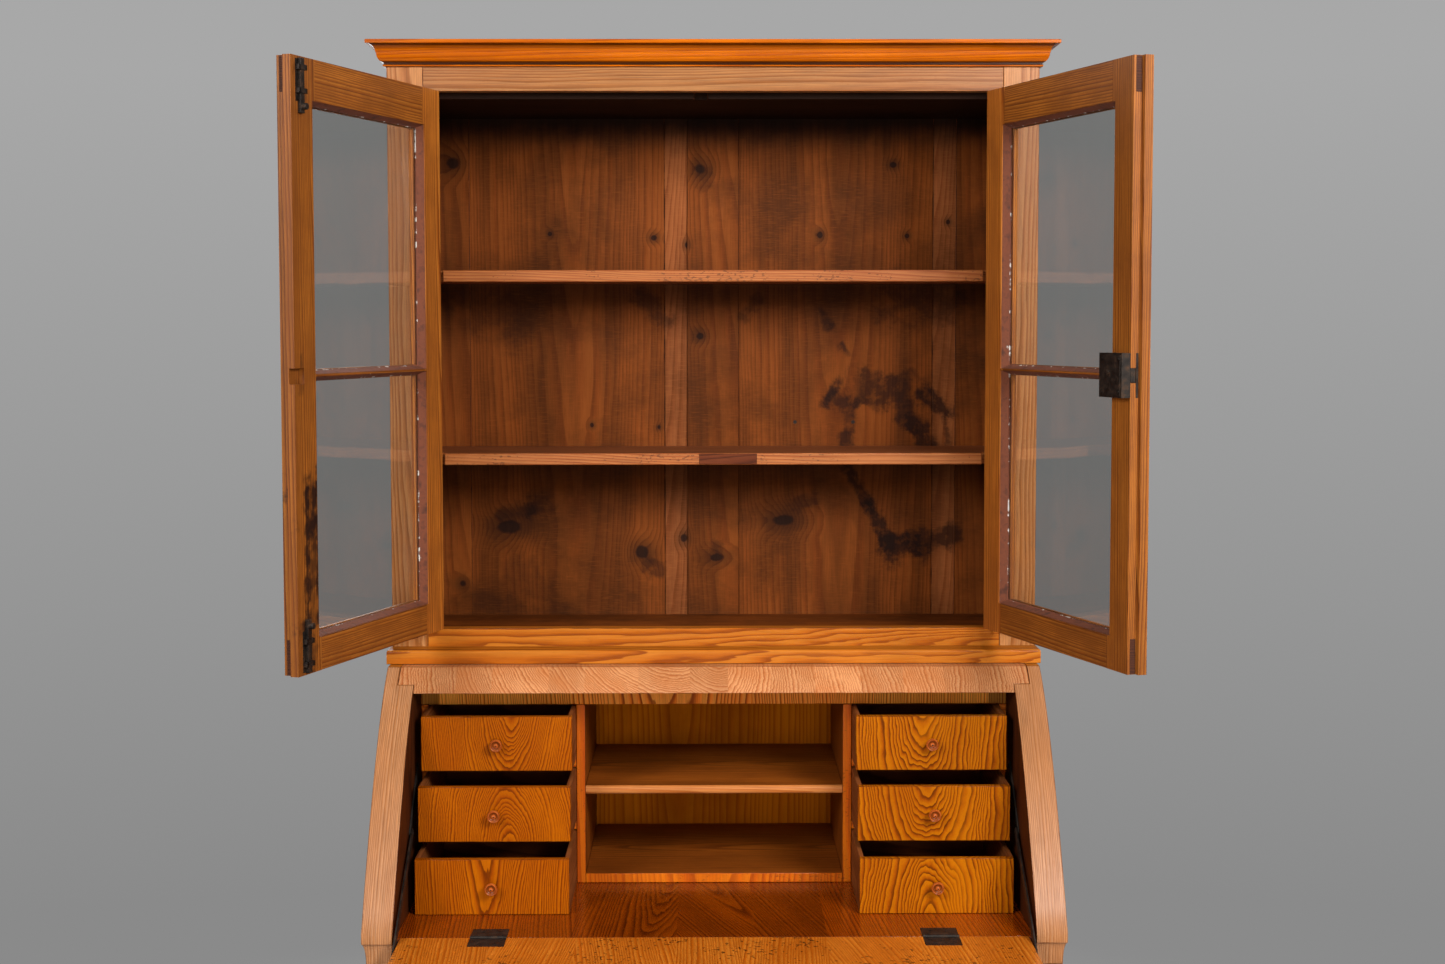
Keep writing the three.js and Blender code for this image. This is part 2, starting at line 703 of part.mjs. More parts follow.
function bookcaseBack() {
  const [x0, x1] = insideCase;
  const [z0, z1] = [bookcaseFoot, bookcaseTop];
  const muntin = bookcase.backMuntin / 2;
  const openings = [[x0 + bookcase.backStile, -muntin], [muntin, x1 - bookcase.backStile]].map((span) =>
    boardGeometry(span, [backInner - overrun, bookcase.depth + overrun],
      [z0 + bookcase.backRail, z1 - bookcase.backRail]));
  const frame = cut(boardGeometry([x0, x1], [backInner, bookcase.depth], [z0, z1]), ...openings);
  const panel = backInner + bookcase.panelSetback;
  const panels = boardGeometry(
    [x0 + bookcase.backStile / 2, x1 - bookcase.backStile / 2], [panel, panel + bookcase.panelThickness],
    [z0 + bookcase.backRail / 2, z1 - bookcase.backRail / 2]);
  return joined(frame, panels);
}
add('bookcase_back', bookcaseBack(), pine);

['upper', 'lower'].forEach((name, i) => {
  const top = bookcaseFloorTop + bookcase.shelfShares[i] * (headBottom - bookcaseFloorTop);
  const [x0, x1] = insideCase;
  const [across, deep] = bookcase.shelfNotch;
  const front = bookcase.shelfFront;
  const outline = [
    [x0 + across, front],
    [x1 - across, front],
    [x1 - across, front + deep],
    [x1, front + deep],
    [x1, backInner - seat],
    [x0, backInner - seat],
    [x0, front + deep],
    [x0 + across, front + deep],
  ];
  add(`shelf_${name}`, acrossZ(outline, [top - bookcase.shelfThickness, top]), pine);
});

// Cornice: bead, quirk, ovolo, cove and fillet
function corniceProfile() {
  let z = bookcaseTop - cornice.lap;
  const { beadOut, quirkOut, ovoloOut, coveOut, filletOut } = cornice;
  const points = [[seat, z], [beadOut, z]];
  z += cornice.bead;
  points.push([beadOut, z], [quirkOut, z + cornice.quirk / 2], [quirkOut, z + cornice.quirk]);
  z += cornice.quirk;
  points.push(...quarter([quirkOut, z], [ovoloOut, z + cornice.ovolo], [ovoloOut, z], cornice.curveSteps));
  z += cornice.ovolo;
  points.push([ovoloOut, z]);
  const coveTop = z + cornice.cove;
  points.push(...quarter([ovoloOut, z], [coveOut, coveTop], [ovoloOut, coveTop], cornice.curveSteps));
  z += cornice.cove;
  points.push([coveOut, z], [filletOut, z]);
  z += cornice.fillet;
  points.push([filletOut, z], [seat, z]);
  return points;
}
add('cornice', mitredMoulding(corniceProfile(), caseHalf, 0, bookcase.depth), elm);

function waistProfile() {
  const { height, ledge, forward, rounding, curveSteps } = waistMoulding;
  const foot = bookcaseFoot;
  const shoulder = bureauTop + height;
  return [
    [seat, foot],
    [forward, foot],
    [forward, shoulder - rounding],
    ...quarter([forward, shoulder - rounding], [forward - rounding, shoulder], [forward, shoulder],
      curveSteps),
    [forward - rounding, shoulder],
    [seat, shoulder + ledge],
  ];
}
const waistShare = waistMoulding.sideways / waistMoulding.forward;
add('waist_moulding', mitredMoulding(waistProfile(), caseHalf, 0, bookcase.depth, waistShare), elm);

// Doors, each built shut about its hinge pin and then swung open.
// "along" runs from the hinge pin towards the closing edge.
const doorFoot = openingBottom + doorGap;
const doorHead = openingTop - doorGap;
const nearEdge = openingHalf - (door.meetingLap + meetingGap) / 2;
const farEdge = openingHalf + (door.meetingLap - meetingGap) / 2;
const barHeight = doorFoot + (doorHead - doorFoot) * door.barShare;
const outerFace = doorHinge.pinForward;
const glassFace = outerFace + door.glassLip;
const stepFace = outerFace + door.meetingStep;
const innerFace = outerFace + door.thickness;
const sightAlong = [doorGap + door.hingeStile, nearEdge - door.closingStile];
const sightUp = [
  [doorFoot + door.bottomRail, barHeight - door.bar / 2],
  [barHeight + door.bar / 2, doorHead - door.topRail],
];
const widened = ([a, b], by) => [a - by, b + by];

function doorFrame(lipDepth, along) {
  const layers = [[outerFace, glassFace, 0], [glassFace, innerFace, door.rebate]];
  const solids = layers.map(([y0, y1, by]) => {
    const holes = sightUp.map((span) => boardGeometry(
      along(widened(sightAlong, by)), [y0 - overrun, y1 + overrun], widened(span, by)));
    return cut(boardGeometry(along([doorGap, nearEdge]), [y0, y1], [doorFoot, doorHead]), ...holes);
  });
  const lip = boardGeometry(along([nearEdge - overrun, farEdge]), lipDepth, [doorFoot, doorHead]);
  return joined(...solids, lip);
}

function pane(span, along) {
  const play = door.rebate - door.glassPlay;
  return boardGeometry(along(widened(sightAlong, play)),
    [glassFace + seat, glassFace + seat + door.glass], widened(span, play));
}

const keyAlong = nearEdge - lock.keyInset;
const boltDepth = [innerFace - lock.boltThickness, innerFace];
const boltHeight = [barHeight - lock.boltHeight / 2, barHeight + lock.boltHeight / 2];

for (const [name, side] of [['left', -1], ['right', 1]]) {
  const along = (span) => span.map((value) => -side * value).sort((a, b) => a - b);
  const leaf = new THREE.Group();
  leaf.position.set(side * openingHalf, -doorHinge.pinForward, 0);
  leaf.rotation.z = THREE.MathUtils.degToRad(side * door.openAngle);
  model.add(leaf);
  if (side < 0) {
    const frame = doorFrame([stepFace + seat, innerFace], along);
    const mortise = boardGeometry(along([nearEdge - lock.mortiseDepth, farEdge + overrun]),
      widened(boltDepth, lock.play), widened(boltHeight, 2 * lock.play));
    add('left_door_frame', cut(frame, mortise), elm, leaf);
    addBolts(leaf, along);
  } else {
    const frame = doorFrame([outerFace, stepFace], along);
    const keyHole = rod(lock.stemRadius + lock.stemPlay, 2 * door.thickness, 'y',
      [along([keyAlong])[0], (outerFace + innerFace) / 2, barHeight]);
    const boltRoom = boardGeometry(along([nearEdge - lock.boltLength - lock.play, nearEdge + overrun]),
      [boltDepth[0] - lock.play, innerFace + overrun], widened(boltHeight, lock.play));
    add('right_door_frame', cut(frame, keyHole, boltRoom), elm, leaf);
    addLock(leaf, along);
  }
  ['lower', 'upper'].forEach((place, i) => {
    add(`${name}_pane_${place}`, pane(sightUp[i], along), oldGlass, leaf);
  });
  ['lower', 'upper'].forEach((place, i) => {
    const centre = i ? doorHead - doorHinge.fromEnd : doorFoot + doorHinge.fromEnd;
    add(`${name}_hinge_${place}`, doorHingeGeometry(side, centre), darkIron);
  });
}

// The leaf is let into the gap on the stile's inner edge
function doorHingeGeometry(side, centre) {
  const span = [openingHalf - doorHinge.leaf, openingHalf].map((x) => x * side).sort((a, b) => a - b);
  const height = [centre - doorHinge.length / 2, centre + doorHinge.length / 2];
  const leaf = boardGeometry(span, [-doorHinge.pinForward, doorHinge.leafDepth], height);
  const hingePin = [side * openingHalf, -doorHinge.pinForward, centre];
  const barrel = rod(doorHinge.radius, doorHinge.length, 'z', hingePin);
  return joined(leaf, barrel);
}

// Shoot bolts on the left door's inner face, at its head and foot
function addBolts(leaf, along) {
  const centre = openingHalf - shootBolt.centre;
  const span = along([centre - shootBolt.width / 2, centre + shootBolt.width / 2]);
  const depth = [innerFace + seat, innerFace + seat + shootBolt.thickness];
  const ends = [['top', doorHead - shootBolt.setback, -1], ['bottom', doorFoot + shootBolt.setback, 1]];
  for (const [name, tip, away] of ends) {
    const height = [tip, tip + away * shootBolt.length].sort((a, b) => a - b);
    const grip = rod(shootBolt.knob, shootBolt.knobLength, 'y', [
      along([centre])[0], depth[1] + shootBolt.knobLength / 2 - seat,
      tip + away * (shootBolt.length - shootBolt.knob * 2)]);
    add(`shoot_bolt_${name}`, joined(boardGeometry(span, depth, height), grip), darkIron, leaf);
  }
}

// Box lock on the right door's inner face; its bolt runs in a groove in the stile behind the case
function addLock(leaf, along) {
  const caseDepth = [innerFace + seat, innerFace + seat + lock.depth];
  const lockCase = boardGeometry(along([nearEdge - lock.width, nearEdge]), caseDepth,
    [barHeight - lock.height / 2, barHeight + lock.height / 2]);
  const [keyX] = along([keyAlong]);
  const stem = [outerFace - lock.bowStandOff, caseDepth[0] + lock.stemReach];
  const keyRoom = rod(lock.stemRadius + lock.stemPlay, 2 * (lock.stemReach + lock.play), 'y',
    [keyX, caseDepth[0], barHeight]);
  add('lock_case', cut(lockCase, keyRoom), darkIron, leaf);
  add('lock_bolt', boardGeometry(
    along([nearEdge - lock.boltLength, nearEdge]), boltDepth, boltHeight), darkIron, leaf);
  const ring = new THREE.TorusGeometry(lock.bowRadius, lock.bowWire, 8, knobSides)
    .rotateY(Math.PI / 2)
    .translate(keyX, stem[0] - lock.bowRadius, barHeight);
  const shank = rod(lock.stemRadius, stem[1] - stem[0], 'y', [keyX, (stem[0] + stem[1]) / 2, barHeight]);
  add('door_key', joined(shank, ring), darkIron, leaf);
}

// The origin is on the floor, in the middle of the part as it stands open
const frontReach = flap.length - pin[0];
model.position.y = (frontReach - bookcase.depth) / 2;

export default model;
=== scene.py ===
import json
import math
from functools import partial

import bmesh
import bpy
from mathutils import Matrix, Vector

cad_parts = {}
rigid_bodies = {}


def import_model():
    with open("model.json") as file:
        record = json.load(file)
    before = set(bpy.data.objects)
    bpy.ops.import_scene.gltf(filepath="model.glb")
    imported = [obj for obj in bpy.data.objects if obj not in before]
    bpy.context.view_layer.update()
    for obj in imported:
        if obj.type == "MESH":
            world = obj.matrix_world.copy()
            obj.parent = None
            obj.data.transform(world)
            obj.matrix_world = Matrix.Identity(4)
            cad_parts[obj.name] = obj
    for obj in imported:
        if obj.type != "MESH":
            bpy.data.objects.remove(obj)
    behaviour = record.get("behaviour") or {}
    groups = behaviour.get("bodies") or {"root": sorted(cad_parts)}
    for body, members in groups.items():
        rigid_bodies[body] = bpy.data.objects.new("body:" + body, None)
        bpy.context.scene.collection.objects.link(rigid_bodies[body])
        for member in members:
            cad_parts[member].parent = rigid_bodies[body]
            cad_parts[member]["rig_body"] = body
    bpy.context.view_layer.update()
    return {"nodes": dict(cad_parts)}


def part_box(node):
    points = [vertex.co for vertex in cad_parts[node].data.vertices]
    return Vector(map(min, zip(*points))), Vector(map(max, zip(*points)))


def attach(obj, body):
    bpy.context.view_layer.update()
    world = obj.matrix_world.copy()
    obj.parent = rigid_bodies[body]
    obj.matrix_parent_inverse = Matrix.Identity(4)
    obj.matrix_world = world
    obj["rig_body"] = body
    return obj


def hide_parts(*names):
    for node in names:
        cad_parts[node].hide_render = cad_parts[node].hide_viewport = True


# Slant front secretaire in elm: glazed bookcase on a bureau with a folding flap, chest of drawers below
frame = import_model()
mm = 0.001
allBelow = 9999  # past the end of any board
print("frame loaded:", len(frame["nodes"]), "nodes")


def bodyOf(node):
    return frame["nodes"][node]["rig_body"]


def newObject(name, data):
    obj = bpy.data.objects.new(name, data)
    bpy.context.scene.collection.objects.link(obj)
    return obj


# Camera, fitted to the photograph
camera = {
    "place": (-0.0096, -3.0581, 1.6848),
    "pitchDown": 3.495,
    "yawRight": 0.421,
    "roll": -0.043,
    "lens": 50.0,
    "sensor": 36.0,
    "farthest": 60.0,
    "photoSize": (1445, 964),
    "principal": (722.5, 445.6),  # the photograph was cropped a little from above
}


def cameraAxes():
    pitch, yaw, roll = (math.radians(camera[key]) for key in ("pitchDown", "yawRight", "roll"))
    ahead = Vector((math.sin(yaw) * math.cos(pitch), math.cos(yaw) * math.cos(pitch), -math.sin(pitch)))
    right = Vector((math.cos(yaw), -math.sin(yaw), 0.0))
    up = right.cross(ahead)
    turned = right * math.cos(roll) + up * math.sin(roll)
    return turned, up * math.cos(roll) - right * math.sin(roll), ahead


def pixelOnPlane(pixel, y):
    # where the photograph's pixel meets the upright plane at that y
    right, up, ahead = cameraAxes()
    focal = camera["lens"] / camera["sensor"] * camera["photoSize"][0]
    across, down = (pixel[i] - camera["principal"][i] for i in (0, 1))
    ray = right * (across / focal) - up * (down / focal) + ahead
    start = Vector(camera["place"])
    return start + ray * ((y - start.y) / ray.y)


def placeCamera():
    data = bpy.data.cameras.new("photoCamera")
    data.lens = camera["lens"]
    data.sensor_width = camera["sensor"]
    data.clip_end = camera["farthest"]
    width, height = camera["photoSize"]
    data.shift_y = (camera["principal"][1] - height / 2) / width
    right, up, ahead = cameraAxes()
    matrix = Matrix((right, up, -ahead)).transposed().to_4x4()
    matrix.translation = Vector(camera["place"])
    obj = newObject("photoCamera", data)
    obj.matrix_world = matrix
    bpy.context.scene.camera = obj


placeCamera()


# Colours and nodes
def linearColour(code):
    values = [int(code[i:i + 2], 16) / 255 for i in (1, 3, 5)]
    return [v / 12.92 if v <= 0.04045 else ((v + 0.055) / 1.055) ** 2.4 for v in values] + [1.0]


def addNode(tree, kind, inputs=(), stops=(), **settings):
    # a kind without its prefix is a shader node; inputs go in order or by name, among the sockets in use;
    # a node given as an input stands for its first output in use
    node = tree.nodes.new(kind if "Node" in kind else "ShaderNode" + kind)
    for key, value in settings.items():
        setattr(node, key, value)
    sockets = [socket for socket in node.inputs if socket.enabled]
    named = {socket.name: socket for socket in reversed(sockets)}
    for key, value in inputs.items() if isinstance(inputs, dict) else enumerate(inputs):
        socket = named[key] if isinstance(key, str) else sockets[key]
        if isinstance(value, bpy.types.Node):
            value = next(output for output in value.outputs if output.enabled)
        if isinstance(value, bpy.types.NodeSocket):
            tree.links.new(value, socket)
        else:
            socket.default_value = value
    for index, (place, colour) in enumerate(stops):
        elements = node.color_ramp.elements
        element = elements[index] if index < 2 else elements.new(place)
        element.position = place
        element.color = linearColour(colour)
    return node


def newMaterial(name):
    material = bpy.data.materials.new(name)
    material.use_nodes = True
    material.node_tree.nodes.clear()
    return material, partial(addNode, material.node_tree)


eased = {"interpolation_type": "SMOOTHSTEP"}

# What a wood finish has unless it says otherwise. Lengths in millimetres: "year" is one growth ring, "bend"
# the trunk's slow wander, "flute" the folds that run up it, "fold" how many of them to a metre. "open" is
# how much the pores show, "mottle" and "bloom" how far a board goes dark and light in places
plainWood = {
    "slot": "elm", "bend": 4.0, "flute": 0.5, "fold": 85.0, "contrast": 0.6, "fibre": 0.5, "open": 0.4,
    "mottle": 0.5, "bloom": 0.4, "grime": 0.5, "scratch": 0.0, "ink": 0.0, "roughness": 0.5, "coat": 0.0,
    "specular": 0.3,  # old wax reflects a little less than bare varnish, and dull wood less again
}
# The finishes. Their colours run from the dark, porous spring wood that starts a ring, through its body, to
# the dense light wood that ends it; "age" is the brown of patches, "rim" that of handled edges
woods = {
    "waxedElm": {  # waxed elm: honey, crisp brown year lines, open pores, a soft shine
        "pore": "#7a3a08", "body": "#b3640f", "dense": "#cf8026", "age": "#7d3f0e", "rim": "#8a4a17",
        "year": 5.0, "bend": 6.0, "flute": 1.0, "contrast": 0.75, "fibre": 0.7, "open": 0.7, "mottle": 0.35,
        "grime": 0.3, "roughness": 0.4, "coat": 0.1,
    },
    "honeyElm": {  # mouldings and bottom rail: orange honey, freshly rubbed
        "pore": "#893f05", "body": "#b65f0d", "dense": "#c57420", "age": "#904606", "rim": "#5d2a06",
        "year": 3.4, "slot": "elm_light", "bend": 8.0, "flute": 1.4, "contrast": 0.9, "fibre": 0.4,
        "open": 0.35, "mottle": 0.3, "grime": 0.2, "roughness": 0.36, "coat": 0.1, "specular": 0.15,
    },
    "corniceElm": {  # the cornice: deep amber under old polish
        "pore": "#8a3a00", "body": "#c05a00", "dense": "#d36f02", "age": "#8a3d01", "rim": "#4d2001",
        "year": 2.6, "bend": 1.5, "flute": 0.2, "contrast": 0.5, "fibre": 0.6, "mottle": 0.35,
        "grime": 0.35, "roughness": 0.28, "coat": 0.12, "specular": 0.1,
    },
    "faceElm": {  # bleached outer faces: pale orange, straight and fine
        "pore": "#834915", "body": "#9e602e", "dense": "#a97140", "age": "#90511d", "rim": "#713b14",
        "year": 3.6, "slot": "elm_light", "bend": 3.0, "flute": 0.6, "contrast": 0.95, "fibre": 0.75,
        "open": 0.7, "mottle": 0.35, "grime": 0.12, "roughness": 0.36, "coat": 0.15,
    },
    "cheekElm": {  # the slanted ends, paler and pinker: a painted sheen of the light that falls on them
        "pore": "#94592c", "body": "#b47645", "dense": "#bf875c", "age": "#a66737", "rim": "#683611",
        "year": 3.2, "slot": "elm_light", "bend": 2.5, "contrast": 0.9, "fibre": 0.85, "open": 0.9,
        "grime": 0.12, "roughness": 0.38, "coat": 0.12,
    },
    "veneerElm": {  # cross-banded veneer of the sloping rail: leaves of differing tone
        "pore": "#a95b2a", "body": "#cb7f4c", "dense": "#d89763", "age": "#b46732", "rim": "#723b14",
        "year": 4.6, "slot": "elm_light", "bend": 7.0, "flute": 2.2, "contrast": 0.95, "fibre": 0.7,
        "open": 0.5, "mottle": 0.55, "grime": 0.15, "roughness": 0.36, "coat": 0.12, "specular": 0.2,
    },
    "doorElm": {  # inner faces of the doors, unpolished and browned
        "pore": "#693109", "body": "#9a5215", "dense": "#b06a24", "age": "#6b3811", "rim": "#4b240a",
        "year": 3.4, "bend": 3.0, "contrast": 0.95, "fibre": 0.8, "open": 0.7, "mottle": 0.7, "grime": 0.65,
        "coat": 0.05,
    },
    "writingElm": {  # handled writing surfaces: red-brown, rubbed to a gloss
        "pore": "#4d1800", "body": "#7a2e00", "dense": "#953f01", "age": "#511e00", "rim": "#4b1b00",
        "year": 5.0, "specular": 0.2, "bend": 5.0, "flute": 1.2, "contrast": 0.85, "fibre": 0.6,
        "mottle": 0.4, "grime": 0.35, "roughness": 0.24, "coat": 0.35,
    },
    "flapElm": {  # the flap's inner face: golden brown, scratched and ink-specked
        "pore": "#ab4e08", "body": "#d2690f", "dense": "#e48628", "age": "#a7510a", "rim": "#753305",
        "year": 5.0, "bend": 6.0, "flute": 1.2, "contrast": 0.85, "fibre": 0.75, "open": 0.8,
        "roughness": 0.3, "coat": 0.25, "ink": 0.8,
    },
    "drawerElm": {  # crown-cut drawer fronts: arches of fine dark lines on old gold
        "pore": "#5c2200", "body": "#9c4600", "dense": "#b76101", "age": "#8a3a00", "rim": "#4f1f00",
        "year": 3.3, "bend": 12.0, "flute": 1.7, "contrast": 0.8, "fibre": 0.4, "mottle": 0.35,
        "grime": 0.15, "roughness": 0.36, "coat": 0.06, "specular": 0.1,
    },
    "goldElm": {  # the right-hand drawer fronts: bolder, wandering year lines on yellower gold
        "pore": "#5a2300", "body": "#a04c00", "dense": "#bb6a02", "age": "#873d00", "rim": "#4f1f00",
        "year": 5.6, "bend": 11.0, "flute": 4.6, "contrast": 0.85, "fibre": 0.35, "mottle": 0.3,
        "grime": 0.15, "roughness": 0.36, "coat": 0.06, "specular": 0.1, "fold": 38.0,
    },
    "knobElm": {  # turned knobs: red-brown, polished by fingers
        "pore": "#6e2c0c", "body": "#a84e18", "dense": "#bc662a", "age": "#5a2208", "rim": "#9c4a18",
        "year": 2.6, "bend": 1.0, "flute": 0.2, "contrast": 0.5, "fibre": 0.3, "open": 0.3, "mottle": 0.3,
        "grime": 0.2, "roughness": 0.28, "coat": 0.06, "specular": 0.2,
    },
    "bandElm": {  # front edges of shelves and partitions: reddened, dotted with old pin holes
        "pore": "#963801", "body": "#d25d02", "dense": "#e57c0d", "age": "#a74802", "rim": "#963f02",
        "year": 4.0, "bend": 3.0, "flute": 0.6, "fibre": 0.6, "open": 0.5, "mottle": 0.4, "grime": 0.3,
        "roughness": 0.38, "coat": 0.1, "ink": 0.4,
    },
    "stripedElm": {  # cross-cut strip along the cabinet's top: painted bright orange, painted light for the lamplight the sloping rail keeps off it, with hard dark stripes
        "pore": "#8a3c08", "body": "#ff8e26", "dense": "#ffaa42", "age": "#d2660f", "rim": "#a05009",
        "year": 3.2, "slot": "elm_light", "bend": 3.0, "contrast": 0.95, "fibre": 0.6, "mottle": 0.3,
        "grime": 0.2, "roughness": 0.42, "coat": 0.05, "specular": 0.15,
    },
    "drawerSideElm": {  # unpolished drawer sides
        "pore": "#5f2a0c", "body": "#8d4a1c", "dense": "#a05e30", "age": "#5a2a10", "rim": "#8a5230",
        "year": 4.0, "bend": 3.0, "flute": 0.4, "contrast": 0.5, "roughness": 0.6, "specular": 0.15,
    },
    "shadowedInteriorElm": {  # surfaces shut away inside the bureau: dark brown, painted shade for the shadow they lie in, never polished
        "pore": "#2c1205", "body": "#4c220b", "dense": "#5c2b0e", "age": "#301507", "rim": "#2c1306",
        "year": 4.0, "roughness": 0.55, "specular": 0.1,
    },
    "boxElm": {  # the open compartment's boards: brown and scratched
        "pore": "#642e0b", "body": "#914710", "dense": "#a95c1d", "age": "#612d0b", "rim": "#7b3b0f",
        "year": 5.0, "bend": 5.0, "flute": 0.6, "contrast": 0.7, "roughness": 0.45, "coat": 0.05,
        "specular": 0.1,
    },
    "oldPine": {  # bare pine darkened by age, soft figure under a brown skin
        "pore": "#622b09", "body": "#7e3d11", "dense": "#894818", "age": "#462107", "rim": "#351706",
        "year": 7.0, "slot": "pine", "bend": 6.0, "flute": 0.8, "open": 0.12, "mottle": 0.85, "grime": 0.9,
        "roughness": 0.6, "scratch": 0.3, "specular": 0.12,
    },
    "sapPine": {  # pale sapwood strips glued to the panels' right edges
        "pore": "#6d320d", "body": "#935026", "dense": "#a05d30", "age": "#4f270c", "rim": "#351706",
        "year": 4.0, "slot": "pine", "bend": 3.0, "flute": 0.4, "contrast": 0.5, "open": 0.12,
        "mottle": 0.7, "grime": 0.6, "roughness": 0.6, "scratch": 0.3, "specular": 0.12,
    },
    "shadedCeilingPine": {  # the bookcase's ceiling, painted near black: painted shade for the shadow it lies in
        "pore": "#180c06", "body": "#22120a", "dense": "#2a170d", "age": "#140a05", "rim": "#1c0e07",
        "year": 6.0, "slot": "pine", "flute": 0.6, "contrast": 0.4, "fibre": 0.4, "open": 0.2, "grime": 0.6,
        "roughness": 0.65, "specular": 0.08,
    },
    "goldPine": {  # the bureau's back behind the small drawers, gold and without painted shade
        "pore": "#8e4002", "body": "#c06206", "dense": "#d0760c", "age": "#793502", "rim": "#662c09",
        "year": 9.0, "slot": "pine", "bend": 5.0, "flute": 0.4, "contrast": 0.5, "fibre": 0.3, "open": 0.1,
        "mottle": 0.4, "grime": 0.4, "roughness": 0.55, "specular": 0.05,
    },
    "shelfPine": {  # shelf boards: dull brown above
        "pore": "#6b3517", "body": "#8a4a24", "dense": "#9c5a30", "age": "#5a2b12", "rim": "#8c4621",
        "year": 4.5, "slot": "pine", "flute": 0.4, "contrast": 0.5, "open": 0.3, "grime": 0.45,
    },
    "shelfEdgePine": {  # the shelves' front edges, rubbed orange, with small bruises
        "pore": "#8e4317", "body": "#b1642e", "dense": "#bf7640", "age": "#954d21", "rim": "#934b1e",
        "year": 3.6, "slot": "pine", "contrast": 0.8, "fibre": 0.7, "open": 0.35, "mottle": 0.45,
        "grime": 0.2, "roughness": 0.45, "coat": 0.05, "ink": 0.5,
    },
    "handledElm": {  # the open compartment's shelf edge, rubbed pale and round
        "pore": "#a85a26", "body": "#cc7a38", "dense": "#dc9452", "age": "#9c5220", "rim": "#eca470",
        "year": 3.0, "slot": "elm_light", "bend": 2.0, "flute": 0.4, "mottle": 0.3, "grime": 0.15,
        "roughness": 0.36, "coat": 0.1,
    },
    "patchElm": {  # the repair let into the lower shelf's edge: dark and close-grained
        "pore": "#3a1a0c", "body": "#6b3218", "dense": "#7b3e20", "age": "#411c0d", "rim": "#1d0d06",
        "year": 2.6, "bend": 2.0, "flute": 0.4, "specular": 0.15,
    },
    "endGrainElm": {  # sawn tenon ends: dark, thirsty, open
        "pore": "#27110a", "body": "#4a2412", "dense": "#5a3018", "age": "#2c150b", "rim": "#22100a",
        "year": 3.0, "bend": 2.0, "flute": 0.4, "contrast": 0.7, "open": 0.7, "mottle": 0.4,
        "roughness": 0.7,
    },
}
# Patterns in the wood: how many to a metre across and along the grain, then the noise's detail and roughness
woodPatterns = {
    "bend": (8.0, 2.4, 2.0, 0.5),
    "fibre": (620.0, 16.0, 3.0, 0.5),  # streaks about 1.6 mm apart, as coarse as they need to be to show
    "pore": (700.0, 110.0, 2.0, 0.5),  # dashes about 1.4 mm wide and 9 mm long
    "tone": (16.0, 2.2, 3.0, 0.6),
    "dirtAndShade": (7.0, 7.0, 6.0, 0.62),
    "scratch": (45.0, 640.0, 2.0, 0.5),  # plane and scrubbing marks across the boards
    "worn": (34.0, 34.0, 3.0, 0.5),
    "ink": (160.0, 300.0, 2.0, 0.5),  # spots and nicks about 2 to 5 mm long, in clusters
    "cluster": (9.0, 9.0, 2.0, 0.5),
    "ragged": (30.0, 30.0, 5.0, 0.62),  # frays the rims of knots, stains and painted shadow
    "patch": (55.0, 55.0, 4.0, 0.6),
}
flutePattern = (9.0, 2.0, 0.6)  # the same for the folds, which lie as close as a finish's "fold" says
# The values of that noise between which each thing comes in
woodLevels = {
    "pore": (0.34, 0.43), "springWood": (0.6, 0.1), "mottle": (0.46, 0.72), "bloom": (0.48, 0.3),
    "grime": (0.46, 0.7), "scratch": (0.5, 0.75), "worn": (0.35, 0.62), "cluster": (0.42, 0.6),
    "ink": (0.355, 0.395), "patch": (0.36, 0.5), "polish": (0.3, 0.7),
}
noiseSwing = 3.0  # noise strays about a third of its span, so what it shifts is given three times over
ringWave = {"often": 0.73, "strength": 0.6}  # wide years and narrow ones
inkColour = "#1c0f08"
knotLook = {  # distances in shares of a knot's size
    "fray": 0.9, "swirl": (0.0, 3.6), "core": (0.6, 1.15), "rim": (0.8, 2.2), "rimStrength": 0.4,
    "halo": (1.4, 3.2), "haloStrength": 0.35, "coreStrength": 0.92, "colour": "#1c0c06",
}
stainLook = {"fray": 4.4, "fade": (0.35, 1.5), "colour": "#1c0c07"}
# the painted shadow under the ceiling and shelves: how it hangs and frays, and its colour
shadowPaintLook = {"above": 4.0, "fray": 0.4, "fade": (0.25, 1.2), "colour": "#0d0705"}
boardMaterials = {}


def grainNoise(add, vector, across, along, detail, roughness):
    drawn = add("VectorMath", (vector, (across, across, along)), operation="MULTIPLY")
    return add("TexNoise", (drawn, 1.0, detail, roughness))


def spotDistance(add, position, centre, width, height):
    # 0 at a spot's middle, 1 at its rim
    offset = add("VectorMath", (position, centre), operation="SUBTRACT")
    scaled = add("VectorMath", (offset, (1.0 / width, 1.0 / width, 1.0 / height)), operation="MULTIPLY")
    return add("VectorMath", (scaled,), operation="LENGTH")


def strokeDistance(add, position, start, end, width):
    # 0 along a stroke's middle line, 1 at its rim
    start, end = Vector(start), Vector(end)
    span = end - start
    offset = add("VectorMath", (position, start), operation="SUBTRACT")
    share = add("VectorMath", (offset, span / span.length_squared), operation="DOT_PRODUCT")
    along = add("VectorMath", (span, add("Clamp", (share,))), operation="SCALE")
    gap = add("VectorMath", (offset, along), operation="DISTANCE")
    return add("Math", (gap, width), operation="DIVIDE")


def frayed(add, distance, ragged, fray):
    # a rim that wanders in and out by the ragged noise
    return add("Math", (ragged, fray, add("Math", (distance, -fray / 2))), operation="MULTIPLY_ADD")


